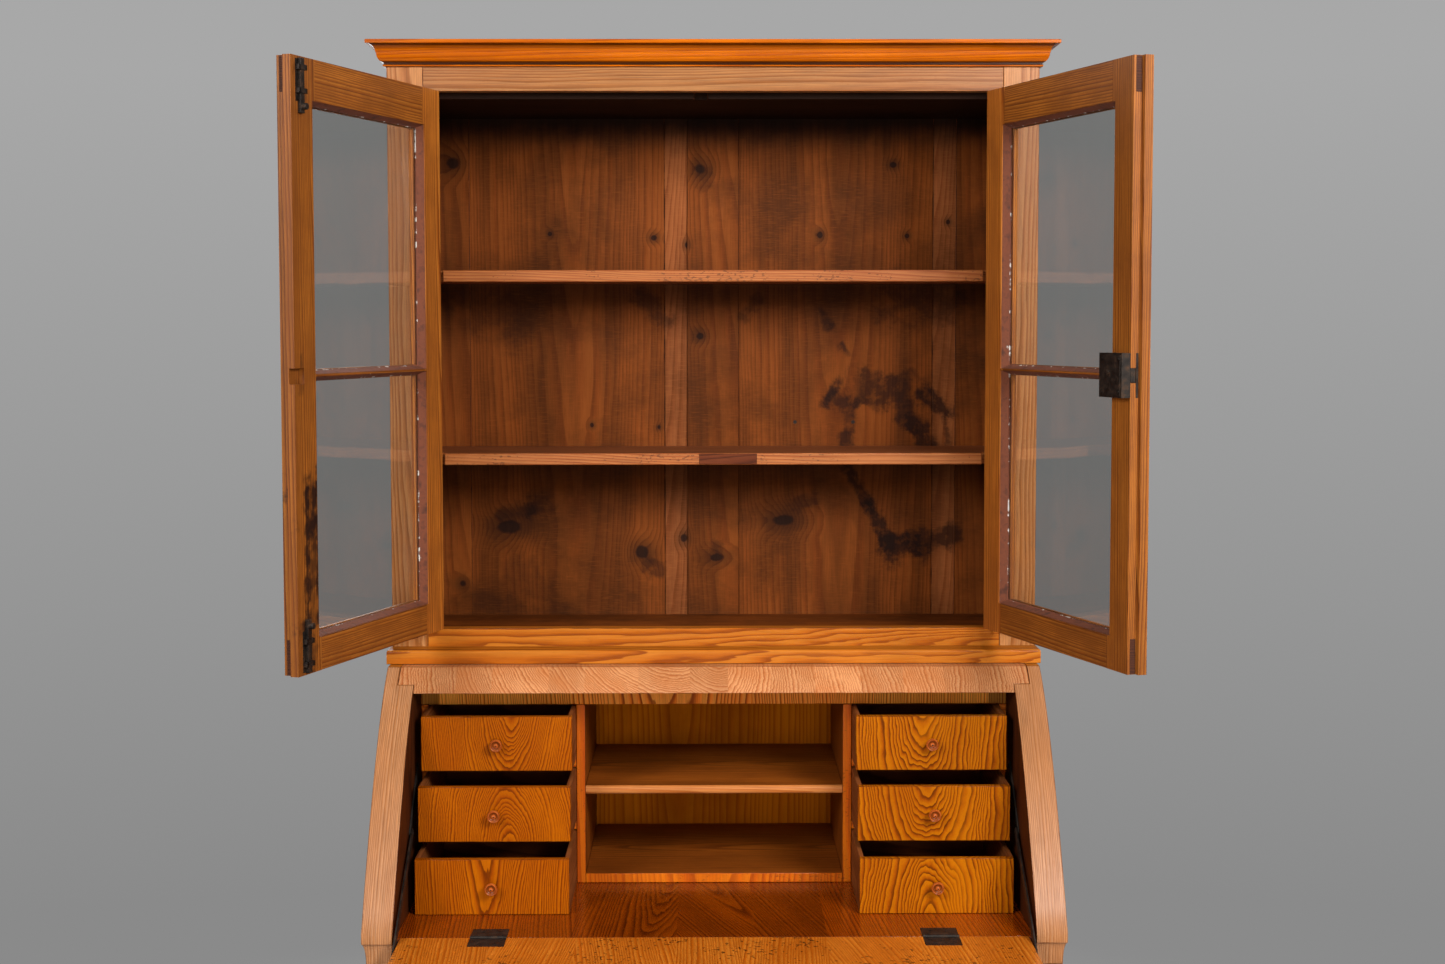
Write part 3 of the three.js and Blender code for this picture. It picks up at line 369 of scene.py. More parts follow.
def yearRings(add, grain, look):
    # how many year rings lie between a point and the tree's heart
    bends = grainNoise(add, grain, *woodPatterns["bend"]).outputs["Color"]
    centred = add("VectorMath", (bends, (0.5, 0.5, 0.5)), operation="SUBTRACT")
    shift = add("VectorMath", (centred, noiseSwing * look["bend"] * mm), operation="SCALE")
    moved = add("VectorMath", (grain, shift), operation="ADD")
    radius = add("VectorMath", (add("VectorMath", (moved, (1.0, 1.0, 0.0)), operation="MULTIPLY"),),
                 operation="LENGTH")
    flutes = grainNoise(add, grain, look["fold"], *flutePattern)
    fluted = add("Math", (flutes, noiseSwing * look["flute"] * mm, radius), operation="MULTIPLY_ADD")
    rings = add("Math", (fluted, look["year"] * mm), operation="DIVIDE")
    uneven = add("Math", (add("Math", (rings, ringWave["often"]), operation="MULTIPLY"),), operation="SINE")
    return add("Math", (uneven, ringWave["strength"], rings), operation="MULTIPLY_ADD")


def woodMaterial(name, finish, knots=(), stains=(), paintedShadow=()):
    # knots: centre, half width, half height, turned rings; stains: strokes from, to, half width, strength
    # painted shadow under the ceiling and shelves: the height it hangs from, how far down it reaches,
    # strength
    look = {**plainWood, **woods[finish]}
    shades = {key: linearColour(look[key]) for key in ("pore", "body", "dense", "age", "rim")}
    material, add = newMaterial(name)
    grain = add("Attribute", attribute_name="grain").outputs["Vector"]
    place = add("TexCoord").outputs["Object"]
    rings = yearRings(add, grain, look)
    fibre, pore, tone = (grainNoise(add, grain, *woodPatterns[key]) for key in ("fibre", "pore", "tone"))
    dirtAndShade, worn = (grainNoise(add, place, *woodPatterns[key]) for key in ("dirtAndShade", "worn"))
    ragged = grainNoise(add, place, *woodPatterns["ragged"]) if knots or stains or paintedShadow else None

    dark, halo = 0.0, look["contrast"]
    swirls = 0.0
    for centre, width, height, turns in knots:
        distance = frayed(add, spotDistance(add, place, centre, width, height), ragged, knotLook["fray"])
        near, core, rim, swirl = (add("MapRange", (distance, *knotLook[key], 1.0, 0.0), **eased)
                                  for key in ("swirl", "core", "rim", "halo"))
        rings = add("Math", (near, turns, rings), operation="MULTIPLY_ADD")
        rim = add("Math", (rim, knotLook["rimStrength"]), operation="MULTIPLY")
        dark = add("Math", (dark, add("Math", (core, rim), operation="MAXIMUM")), operation="MAXIMUM")
        swirls = add("Math", (swirls, swirl), operation="MAXIMUM")
    if knots:
        halo = add("Math", (halo, swirls), operation="MAXIMUM")

    phase = add("Math", (rings,), operation="FRACT")
    figure = add("ValToRGB", (phase,), [
        (0.0, look["dense"]), (1.0, look["dense"]), (0.05, look["pore"]), (0.16, look["pore"]),
        (0.38, look["body"]), (0.75, look["dense"])])
    streaks = add("ValToRGB", (fibre,), [(0.25, "#b4b4b4"), (0.7, "#ffffff")])
    # pores crowd in the spring wood
    pores = add("Math", (add("MapRange", (pore, *woodLevels["pore"], 1.0, 0.0), **eased),
                         add("MapRange", (phase, *woodLevels["springWood"], 0.3, 1.0))), operation="MULTIPLY")
    leafTone = add("Attribute", attribute_name="tone").outputs["Fac"]
    edge = add("Attribute", attribute_name="edge").outputs["Fac"]
    rubbed = add("MapRange", (worn, *woodLevels["worn"], 0.1, 0.9))

    # what is laid over the body colour, in turn: how much, what, and how where it isn't plainly over
    layers = [
        (halo, figure),
        (look["fibre"], streaks, "MULTIPLY"),
        (add("Math", (pores, look["open"]), operation="MULTIPLY"), shades["pore"]),
        (add("MapRange", (tone, *woodLevels["mottle"], 0.0, look["mottle"])), shades["age"]),
        (add("MapRange", (tone, *woodLevels["bloom"], 0.0, look["bloom"])), shades["dense"]),
        (add("MapRange", (dirtAndShade, *woodLevels["grime"], 0.0, look["grime"])), shades["age"]),
    ]
    if look["scratch"]:
        marks = grainNoise(add, place, *woodPatterns["scratch"])
        layers.append((add("MapRange", (marks, *woodLevels["scratch"], 0.0, look["scratch"])),
                       shades["dense"]))
    layers += [
        (1.0, add("Math", (leafTone, 1.0)), "MULTIPLY"),  # leaves of veneer and boards differ a shade; the same tone also carries painted shade and highlight on mouldings, knobs, stiles and doors
        (add("Math", (edge, rubbed), operation="MULTIPLY"), shades["rim"]),  # arrises darkened by hands
    ]
    if look["ink"]:
        spot, cluster = (grainNoise(add, place, *woodPatterns[key]) for key in ("ink", "cluster"))
        sparse = add("Math", (spot, add("MapRange", (cluster, *woodLevels["cluster"], 0.1, -0.03))))
        spots = add("MapRange", (sparse, *woodLevels["ink"], 1.0, 0.0), **eased)
        layers.append((add("Math", (spots, look["ink"]), operation="MULTIPLY"), linearColour(inkColour)))
    if knots:
        layers.append((add("Math", (swirls, knotLook["haloStrength"]), operation="MULTIPLY"), shades["age"]))
        layers.append((add("Math", (dark, knotLook["coreStrength"]), operation="MULTIPLY"),
                       linearColour(knotLook["colour"])))
    if stains:
        patches = grainNoise(add, place, *woodPatterns["patch"])
        patchy = add("MapRange", (patches, *woodLevels["patch"], 0.5, 1.0))
    for start, end, width, strength in stains:
        rim = frayed(add, strokeDistance(add, place, start, end, width), ragged, stainLook["fray"])
        soaked = add("Math", (add("MapRange", (rim, *stainLook["fade"], 1.0, 0.0), **eased), strength),
                     operation="MULTIPLY")
        layers.append((add("Math", (soaked, patchy), operation="MULTIPLY"),
                       linearColour(stainLook["colour"])))
    # painted shadow hanging down from the ceiling and each shelf
    for level, reach, strength in paintedShadow:
        drop = add("Math", (level, add("SeparateXYZ", (place,)).outputs["Z"]), operation="SUBTRACT")
        below = add("Math", (drop, -shadowPaintLook["above"] * mm), operation="GREATER_THAN")
        loose = add("Math", (ragged, reach * shadowPaintLook["fray"], drop), operation="MULTIPLY_ADD")
        thin = add("MapRange", (loose, *(reach * share for share in shadowPaintLook["fade"]), 1.0, 0.0), **eased)
        shadowAmount = add("Math", (below, thin), operation="MULTIPLY")
        shadowAmount = add("Math", (shadowAmount, strength), operation="MULTIPLY")
        layers.append((shadowAmount, linearColour(shadowPaintLook["colour"])))
    colour = shades["body"]
    for amount, over, *how in layers:
        colour = add("Mix", (amount, colour, over), data_type="RGBA", blend_type=how[0] if how else "MIX")

    height = add("Math", (fibre, 0.5), operation="MULTIPLY")
    height = add("Math", (pores, -0.6, height), operation="MULTIPLY_ADD")
    shader = add("BsdfPrincipled", {
        "Base Color": colour, "IOR": 1.45, "Specular IOR Level": look["specular"],
        "Coat Weight": look["coat"], "Coat Roughness": 0.2,
        "Roughness": add("MapRange", (fibre, *woodLevels["polish"], look["roughness"] + 0.08,
                                      look["roughness"] - 0.04)),
        "Normal": add("Bump", {"Height": height, "Strength": 0.3, "Distance": 0.3 * mm})})
    add("OutputMaterial", (shader,))
    boardMaterials[name] = (material, look["slot"])
    return name


def ironMaterial():
    # wrought iron, blacked and rusting brown: dull, pitted
    material, add = newMaterial("blackedIron")
    place = add("TexCoord").outputs["Object"]
    rust = add("TexNoise", (place, 90.0, 5.0, 0.65))
    pits = add("TexNoise", (place, 420.0, 2.0))
    colour = add("ValToRGB", (rust,), [
        (0.3, "#1d1815"), (0.8, "#6a4731"), (0.52, "#2f2823"), (0.64, "#453428")])
    add("OutputMaterial", (add("BsdfPrincipled", {
        "Base Color": colour, "Metallic": 0.75, "Roughness": add("MapRange", (rust, 0.3, 0.7, 0.42, 0.75)),
        "Normal": add("Bump", {"Height": pits, "Strength": 0.5, "Distance": 0.3 * mm})}),))
    return material


def glassMaterial():
    # thin old window glass: clear with a slight ripple and a film of dust
    material, add = newMaterial("oldWindowGlass")
    place = add("TexCoord").outputs["Object"]
    waves = add("TexNoise", (place, 9.0, 1.0))
    ripple = add("Bump", {"Height": waves, "Strength": 0.25, "Distance": 1.5 * mm})
    clear = add("BsdfTransparent", (linearColour("#fbfcfb"),))
    gloss = add("BsdfGlossy", {"Roughness": 0.03, "Normal": ripple})
    film = add("BsdfDiffuse", (linearColour("#8f8d86"),))
    # both faces of the pane mirror, drawn on the near one
    mirror = add("Math", (add("Fresnel", (1.5,)), 1.8), operation="MULTIPLY")
    farFace = add("NewGeometry").outputs["Backfacing"]
    nearFace = add("Math", (1.0, farFace), operation="SUBTRACT")
    nearMirror = add("Math", (mirror, nearFace), operation="MULTIPLY")
    dust = add("MapRange", (add("TexNoise", (place, 14.0, 4.0)), 0.3, 0.8, 0.005, 0.05))
    seen = add("MixShader", (dust, add("MixShader", (nearMirror, clear, gloss)), film))
    lampRay = add("LightPath").outputs["Is Shadow Ray"]
    lit = add("BsdfTransparent", (linearColour("#f8f8f8"),))
    add("OutputMaterial", (add("MixShader", (lampRay, seen, lit)),))
    return material


def puttyMaterial():
    # linseed putty, painted brown like the wood, chalky white where it flakes
    material, add = newMaterial("glazingPutty")
    flake = add("TexNoise", (add("TexCoord").outputs["Object"], 70.0, 4.0, 0.6))
    atGlass = add("Attribute", attribute_name="edge").outputs["Fac"]
    chalk = add("Math", (atGlass, 0.13, flake), operation="MULTIPLY_ADD")
    colour = add("ValToRGB", (chalk,), [
        (0.3, "#45200f"), (0.76, "#cfc6bb"), (0.5, "#6b3419"), (0.7, "#5e2d16")])
    add("OutputMaterial", (add("BsdfPrincipled", {
        "Base Color": colour, "Roughness": 0.8,
        "Normal": add("Bump", {"Height": flake, "Strength": 0.6, "Distance": 1.0 * mm})}),))
    return material


blackedIron = ironMaterial()
windowGlass = glassMaterial()
glazingPutty = puttyMaterial()
for finish in woods:
    woodMaterial(finish, finish)
print("materials made")


# Boards: closed shapes with eased arrises and their own grain
easing = {"segments": 2, "profile": 0.6, "sharp": 32.0}
slopeStretch = 1.2  # an edge cut on a slope is this much longer than it is high
grainStep = {"board": 3.7, "leaf": 1.3}  # metres of grain between two boards, and between two leaves
merging = {"gap": 0.02 * mm, "flat": math.radians(0.5), "cut": 0.001 * mm}  # CAD meshes are loose triangles
faceOrder = {  # which axes lie across, through and along a board
    ("x", "y"): (2, 1, 0), ("x", "z"): (1, 2, 0), ("z", "y"): (0, 1, 2),
    ("z", "x"): (1, 0, 2), ("y", "z"): (0, 2, 1), ("y", "x"): (2, 0, 1),
}


def newBoard():
    board = bmesh.new()
    board.loops.layers.float_vector.new("grain")
    board.faces.layers.float.new("edge")
    board.faces.layers.float.new("tone")
    return board


def addBox(board, low, high):
    low, high = Vector(map(min, zip(low, high))), Vector(map(max, zip(low, high)))
    made = bmesh.ops.create_cube(board, size=1.0)["verts"]
    for vert in made:
        vert.co = Vector([low[i] + (high[i] - low[i]) * (vert.co[i] + 0.5) for i in range(3)])
    return board


def addPrism(board, outline, axis, span):
    # an outline in two axes, carried along the third
    order = {"x": (1, 2, 0), "y": (0, 2, 1), "z": (0, 1, 2)}[axis]
    rings = []
    for distance in sorted(span):
        ring = []
        for a, b in outline:
            place = [0.0, 0.0, 0.0]
            place[order[0]], place[order[1]], place[order[2]] = a, b, distance
            ring.append(board.verts.new(place))
        rings.append(ring)
    joinRings(board, rings)
    return board


def joinRings(board, rings, close=False):
    # walls between loops of points, and an end at each end unless the loops close on themselves
    made = []
    pairs = list(zip(rings, rings[1:])) + ([(rings[-1], rings[0])] if close else [])
    for low, high in pairs:
        for i in range(len(low)):
            j = (i + 1) % len(low)
            made.append(board.faces.new((low[i], low[j], high[j], high[i])))
    if not close:
        made += [board.faces.new(rings[0][::-1]), board.faces.new(rings[-1])]
    bmesh.ops.recalc_face_normals(board, faces=made)
    return made


def easeEdges(board, radius, sharpAngle=easing["sharp"]):
    edgeLayer = board.faces.layers.float["edge"]
    limit = math.radians(sharpAngle)
    if radius:
        sharp = [e for e in board.edges if e.is_manifold and e.calc_face_angle() > limit]
        rounded = bmesh.ops.bevel(board, geom=sharp, offset=radius, segments=easing["segments"],
                                  profile=easing["profile"], affect="EDGES", clamp_overlap=True)
        for face in rounded["faces"]:
            face[edgeLayer] = 1.0
    for edge in board.edges:
        marks = {face[edgeLayer] for face in edge.link_faces}
        bevelled = marks == {1.0}
        edge.smooth = bevelled or (len(marks) == 1 and edge.is_manifold and edge.calc_face_angle() < limit)
    for face in board.faces:
        face.smooth = True


def layGrain(board, along, face, heart=(0.0, 90.0), slope=0.03, seed=0, rule=None, leaves=(), edgeRun=False):
    # heart: where the tree's centre lies, across and behind the shown face
    # slope: how the grain runs out of the board
    # leaves of veneer: where each ends along x, the lean of its grain, its own heart and its tone
    layer = board.loops.layers.float_vector["grain"]
    toneLayer = board.faces.layers.float["tone"]
    points = [vert.co for vert in board.verts]
    middle = Vector([(min(p[i] for p in points) + max(p[i] for p in points)) / 2 for i in range(3)])
    for boardFace in board.faces:
        order = faceOrder[rule(boardFace) if rule else (along, face)]
        leafSeed, lean, leafHeart = 0.0, 0.0, heart
        for index, (end, leafLean, ownHeart, tone) in enumerate(leaves):
            if boardFace.calc_center_median().x < end * mm:
                leafSeed, lean, leafHeart = grainStep["leaf"] * index, leafLean, ownHeart
                boardFace[toneLayer] = tone
                break
        sloping = edgeRun and facings["front"](boardFace)  # an edge cut on a slope: the grain follows it
        for loop in boardFace.loops:
            offset = loop.vert.co - middle
            across, through, run = (offset[i] for i in order)
            if sloping:
                across, through, run = offset.x, 0.0, offset.z * slopeStretch
            loop[layer] = Vector((
                across + lean * run + leafHeart[0] * mm, through - leafHeart[1] * mm + slope * run,
                run + grainStep["board"] * seed + leafSeed))


facings = {
    "front": lambda face: face.normal.y < -0.4,
    "under": lambda face: face.normal.z < -0.7,
    "inside": lambda face: abs(face.normal.x) > 0.7 and face.normal.x * face.calc_center_median().x < 0,
}


def makePiece(name, board, finish, body, nodes=(), at=None, skins=None):
    # skins: another finish for the faces that look one way
    materials = [boardMaterials[finish] if isinstance(finish, str) else (finish, "iron")]
    for facing, skin in (skins or {}).items():
        materials.append(boardMaterials[skin])
        for face in board.faces:
            if facings[facing](face):
                face.material_index = len(materials) - 1
    mesh = bpy.data.meshes.new(name)
    if at is not None:
        board.transform(at)
    board.to_mesh(mesh)
    board.free()
    piece = newObject(name, mesh)
    for material, slot in materials:
        mesh.materials.append(material)
    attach(piece, body)
    if nodes:
        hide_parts(*nodes)
    return piece


def boardPiece(name, low, high, finish, body, along, face, nodes=(), radius=1.0, at=None, skins=None,
               **grain):
    board = addBox(newBoard(), low, high)
    easeEdges(board, radius * mm)
    layGrain(board, along, face, **grain)
    return makePiece(name, board, finish, body, nodes, at, skins)


def everything(board):
    return board.verts[:] + board.edges[:] + board.faces[:]


def joinFlats(board):
    bmesh.ops.dissolve_limit(board, angle_limit=merging["flat"], verts=board.verts, edges=board.edges)


def nodeBoard(node, leaves=(), turn=None):
    # a CAD solid's own shape as a board, cut through where its leaves of veneer meet
    board = newBoard()
    board.from_mesh(frame["nodes"][node].data)
    if turn is not None:
        board.transform(turn)
    bmesh.ops.remove_doubles(board, verts=board.verts, dist=merging["gap"])
    joinFlats(board)
    for end, *rest in leaves[:-1]:
        bmesh.ops.bisect_plane(board, geom=everything(board), dist=merging["cut"], plane_co=(end * mm, 0, 0),
                               plane_no=(1, 0, 0))
    for boardFace in board.faces:
        boardFace.material_index = 0
    return board


def easedNode(name, node, finish, along, face, radius=1.0, skins=None, leaves=(), **grain):
    board = nodeBoard(node, leaves)
    easeEdges(board, radius * mm)
    layGrain(board, along, face, leaves=leaves, **grain)
    return makePiece(name, board, finish, bodyOf(node), (node,), skins=skins)


# Bookcase carcase
shelfShadowPaint = [  # painted shadow under the ceiling and shelves: the height it hangs from, its reach, its strength
    (2.042, 70.0 * mm, 0.94), (1.7535, 66.0 * mm, 0.55), (1.448, 60.0 * mm, 0.55),
    (1.7535, 260.0 * mm, 0.22), (1.448, 250.0 * mm, 0.3),
]
woodMaterial("sidePine", "oldPine", (), (), shelfShadowPaint)
for side in ("left", "right"):
    sign = -1 if side == "left" else 1
    easedNode(side + "BookcaseSide", "bookcase_side_" + side, "waxedElm", "z", "x",
              skins={"inside": "sidePine"}, heart=(60.0, 150.0), seed=3 + sign)
    # the front stiles are painted a third lighter all over: painted light for the side lamps that reach them
    easedNode(side + "FrontStile", "front_stile_" + side, "faceElm", "z", "y",
              heart=(20.0 * sign, 70.0), slope=0.01, seed=5 + sign,
              leaves=((allBelow, 0.0, (20.0 * sign, 70.0), 0.35),))
easedNode("topRail", "top_rail", "faceElm", "x", "y", heart=(60.0, 60.0), slope=0.008, seed=9)
easedNode("bottomRail", "bottom_rail", "honeyElm", "x", "y", heart=(10.0, 45.0), slope=0.02, seed=10)
easedNode("bookcaseFloor", "bookcase_floor", "oldPine", "x", "z", seed=11)
# the ceiling's underside and front take the near-black painted shade
easedNode("bookcaseHead", "bookcase_head", "oldPine", "x", "z",
          skins={"under": "shadedCeilingPine", "front": "shadedCeilingPine"}, seed=12)
shelfEdge = {"front": "shelfEdgePine"}
easedNode("upperShelf", "shelf_upper", "shelfPine", "x", "z", 1.6, shelfEdge, heart=(30.0, 60.0), seed=13)
easedNode("lowerShelf", "shelf_lower", "shelfPine", "x", "z", 1.6, shelfEdge, heart=(20.0, 50.0), seed=14)
# the repair let into the lower shelf, its ends in pixels
shelfPatch = {"from": (699, 461), "to": (757, 461), "proud": 0.25, "depth": 10.0, "gap": 0.8}
shelfLow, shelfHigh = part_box("shelf_lower")
patchLeft, patchRight = (pixelOnPlane(shelfPatch[end], shelfLow.y).x for end in ("from", "to"))
patchGap = shelfPatch["gap"] * mm
boardPiece("shelfPatch", (patchLeft, shelfLow.y - shelfPatch["proud"] * mm, shelfLow.z + patchGap),
           (patchRight, shelfLow.y + shelfPatch["depth"] * mm, shelfHigh.z - patchGap), "patchElm",
           bodyOf("shelf_lower"), "x", "y", radius=0.8, heart=(12.0, 30.0), seed=15)
print("bookcase carcase made")


# Mouldings with mitred corners: profile points are outward and up, in millimetres
cornice = {
    "bead": 3.8, "quirk": 2.8, "ovolo": 14.4, "cove": 13.0, "fillet": 6.0,
    "beadOut": 5.0, "quirkOut": 3.5, "ovoloOut": 14.0, "coveOut": 26.0, "filletOut": 29.0, "steps": 10,
    "beadRound": 1.5, "beadSteps": 4, "arris": 0.8, "quirkEase": 0.6,
}
waist = {"height": 22.5, "ledge": 4.5, "forward": 15.0, "sideways": 7.5, "rounding": 4.0, "steps": 6,
         "arris": 0.8}
seatGap = 0.3


def quarterCurve(start, end, corner, steps):
    points = []
    for i in range(steps + 1):
        turn = i / steps * math.pi / 2
        fromStart, fromEnd = 1 - math.sin(turn), 1 - math.cos(turn)
        points.append(tuple(corner[k] + (start[k] - corner[k]) * fromStart + (end[k] - corner[k]) * fromEnd
                            for k in (0, 1)))
    return points


def sweepMoulding(name, node, profile, halfWidth, frontY, backY, finish, sideShare=1.0, seed=0, dirtAndShade=()):
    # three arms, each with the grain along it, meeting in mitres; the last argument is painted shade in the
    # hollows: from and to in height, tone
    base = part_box(node)[0].z

    def corner(out, side, y):
        return (side * (halfWidth + out * sideShare * mm), y - (out * mm if y == frontY else 0.0))

    for arm, ends in (("Left", ((-1, backY), (-1, frontY))), ("Front", ((-1, frontY), (1, frontY))),
                      ("Right", ((1, frontY), (1, backY)))):
        board = newBoard()
        rings = []
        for side, y in ends:
            rings.append([board.verts.new((*corner(out, side, y), base + up * mm)) for out, up in profile])
        joinRings(board, rings)
        easeEdges(board, 0.0, 25.0)
        along, face = ("x", "y") if arm == "Front" else ("y", "x")
        layGrain(board, along, face, heart=(15.0, 55.0), slope=0.012, seed=seed)
        toneLayer = board.faces.layers.float["tone"]
        # painted shade: faces in the moulding's hollows take a darker tone
        for boardFace in board.faces:
            height = (boardFace.calc_center_median().z - base) / mm
            for low, high, tone in dirtAndShade:
                if low < height < high and abs(boardFace.normal.z) < 0.98:
                    boardFace[toneLayer] = tone
        makePiece(name + arm, board, finish, bodyOf(node), (node,) if arm == "Front" else ())


def corniceProfile():
    look = cornice
    arris, bead, beadFace = look["arris"], look["bead"], look["beadOut"] - look["beadRound"]
    bulge, steps = (look["beadOut"], bead / 2), look["beadSteps"]
    points = [(seatGap, 0.0), (beadFace, 0.0)]
    points += quarterCurve((beadFace, 0.0), bulge, (look["beadOut"], 0.0), steps)[1:]
    points += quarterCurve(bulge, (beadFace, bead), (look["beadOut"], bead), steps)[1:]
    up = bead + look["quirk"]
    points += [(look["quirkOut"], bead + look["quirkEase"]), (look["quirkOut"], up)]
    top = up + look["ovolo"]
    start, end, corner = (look["quirkOut"], up), (look["ovoloOut"], top), (look["ovoloOut"], up)
    points += quarterCurve(start, end, corner, look["steps"])[1:]
    up, out = top + look["cove"], look["ovoloOut"] + arris
    points += quarterCurve((out, top), (look["coveOut"], up), (out, up), look["steps"])
    top, out = up + look["fillet"], look["filletOut"]
    points += [(out - arris, up), (out, up + arris), (out, top - arris), (out - arris, top)]
    return points + [(seatGap, top)]


def waistProfile():
    look = waist
    shoulder, out, rounding = look["height"] - seatGap, look["forward"], look["rounding"]
    points = [(seatGap, 0.0), (out - look["arris"], 0.0), (out, look["arris"])]
    start, end = (out, shoulder - rounding), (out - rounding, shoulder)
    points += quarterCurve(start, end, (out, shoulder), look["steps"])
    return points + [(seatGap, shoulder + look["ledge"])]


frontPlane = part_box("front_stile_left")[0].y
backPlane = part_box("bookcase_side_left")[1].y
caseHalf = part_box("bookcase_side_right")[1].x
# painted shade in the hollows and along the feet, where shadow falls: from and to in height above the
# moulding's foot, tone
corniceHollowShade = ((0.0, 0.7, -0.8), (2.9, 6.7, -0.92), (6.7, 8.2, -0.6), (20.4, 22.0, -0.6), (23.0, 27.0, -0.15),
               (27.0, 31.0, -0.4), (31.0, 34.2, -0.7))
waistShadowLines = ((-0.1, 1.0, -0.7), (21.9, 27.5, -0.35))
sweepMoulding("cornice", "cornice", corniceProfile(), caseHalf, frontPlane, backPlane, "corniceElm", seed=20,
              dirtAndShade=corniceHollowShade)
sweepMoulding("waistMoulding", "waist_moulding", waistProfile(), caseHalf, frontPlane, backPlane, "honeyElm",
              sideShare=waist["sideways"] / waist["forward"], seed=21, dirtAndShade=waistShadowLines)
print("mouldings made")


# Screws and nails: heads of two half rounds with a slot between, set at points that say how they face
screw = {"radius": 3.2, "height": 0.9, "slot": 0.8, "sides": 12, "seed": 4}
nail = {"radius": 1.7, "height": 0.7, "slot": 0.02, "sides": 10, "seed": 7}
slotFloor = 0.8  # share of a head's height, of a disc centred on what it sits in: under half of it stands out


def headTree():
    tree = bpy.data.node_groups.new("fastenerHeads", "GeometryNodeTree")
    add = partial(addNode, tree)
    sockets = {"Geometry": "Geometry", "Head radius": "Float", "Head height": "Float", "Slot width": "Float",
               "Sides": "Int", "Seed": "Int", "Finish": "Material"}
    for label, kind in sockets.items():
        tree.interface.new_socket(label, in_out="INPUT", socket_type="NodeSocket" + kind)
    tree.interface.new_socket("Geometry", in_out="OUTPUT", socket_type="NodeSocketGeometry")
    given = add("NodeGroupInput").outputs
    halfSlot = add("Math", (given["Slot width"], 0.5), operation="MULTIPLY")
    share = add("Math", (halfSlot, given["Head radius"]), operation="DIVIDE")
    start = add("Math", (share,), operation="ARCSINE")
    sweep = add("Math", (start, -2.0, math.pi), operation="MULTIPLY_ADD")
    arc = add("GeometryNodeCurveArc", {
        "Radius": given["Head radius"], "Start Angle": start, "Sweep Angle": sweep,
        "Resolution": given["Sides"]}, mode="RADIUS")
    outline = add("GeometryNodeSetSplineCyclic", {"Geometry": arc, "Cyclic": True})
    half = add("GeometryNodeFillCurve", (outline,), mode="NGONS")
    raised = add("GeometryNodeExtrudeMesh", {"Mesh": half, "Offset Scale": given["Head height"]},
                 mode="FACES")
    other = add("GeometryNodeTransform", {"Geometry": raised, "Rotation": (0.0, 0.0, math.pi)})
    base = add("GeometryNodeMeshCylinder", {
        "Vertices": given["Sides"], "Radius": given["Head radius"],
        "Depth": add("Math", (given["Head height"], slotFloor), operation="MULTIPLY")})
    head = add("GeometryNodeJoinGeometry")
    for part in (raised, other, base):
        tree.links.new(part.outputs[0], head.inputs[0])
    facing = add("GeometryNodeInputNamedAttribute", {"Name": "facing"}, data_type="FLOAT_VECTOR")
    turn = add("FunctionNodeRandomValue", {"Min": 0.0, "Max": math.pi, "Seed": given["Seed"]},
               data_type="FLOAT")
    turned = add("FunctionNodeRotateRotation", {
        "Rotation": add("FunctionNodeAlignRotationToVector", {"Vector": facing}, axis="Z"),
        "Rotate By": add("FunctionNodeAxisAngleToRotation", ((0.0, 0.0, 1.0), turn))}, rotation_space="LOCAL")
    placed = add("GeometryNodeInstanceOnPoints", {
        "Points": add("GeometryNodeMeshToPoints", (given["Geometry"],)), "Instance": head,
        "Rotation": turned})
    real = add("GeometryNodeRealizeInstances", (placed,))
    add("NodeGroupOutput", (add("GeometryNodeSetMaterial", {"Geometry": real, "Material": given["Finish"]}),))
    return tree


headsTree = headTree()


def plainMeshFrom(name, carrier, tree, values):
    # runs a tree on a carrier and keeps its result as an ordinary object
    modifier = carrier.modifiers.new("nodes", "NODES")
    modifier.node_group = tree
    for item in tree.interface.items_tree:
        if item.in_out == "INPUT" and item.name in values:
            modifier[item.identifier] = values[item.name]
    shaped = carrier.evaluated_get(bpy.context.evaluated_depsgraph_get())
    mesh = bpy.data.meshes.new_from_object(shaped)
    mesh.name = name
    carrier.modifiers.remove(modifier)
    bpy.data.objects.remove(carrier)
    return newObject(name, mesh)


def addHeads(name, look, places, body, at=None):
    # places: point and facing in metres, or in the frame that "at" carries to the part
    at = at or Matrix.Identity(4)
    mesh = bpy.data.meshes.new(name + "Places")
    mesh.from_pydata([tuple(at @ Vector(point)) for point, facing in places], [], [])
    layer = mesh.attributes.new("facing", "FLOAT_VECTOR", "POINT")
    for index, (point, facing) in enumerate(places):
        layer.data[index].vector = at.to_3x3() @ Vector(facing)
    piece = plainMeshFrom(name, newObject(name + "Places", mesh), headsTree, {
        "Head radius": look["radius"] * mm, "Head height": look["height"] * mm,
        "Slot width": look["slot"] * mm, "Sides": look["sides"], "Seed": look["seed"], "Finish": blackedIron})
    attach(piece, body)


# Back of upright boards: stiles, two panels each with a pale strip at its right, and a muntin. Knots and
# stains lie where the photograph shows them
back = {"stile": 70.0, "muntin": 91.0, "strip": 40.0, "setback": 4.0, "panel": 8.0, "tongue": 6.0,
        "knotReach": 12.0, "nailsAt": ((795, 422), (853, 422)), "nailRadius": 3.2}
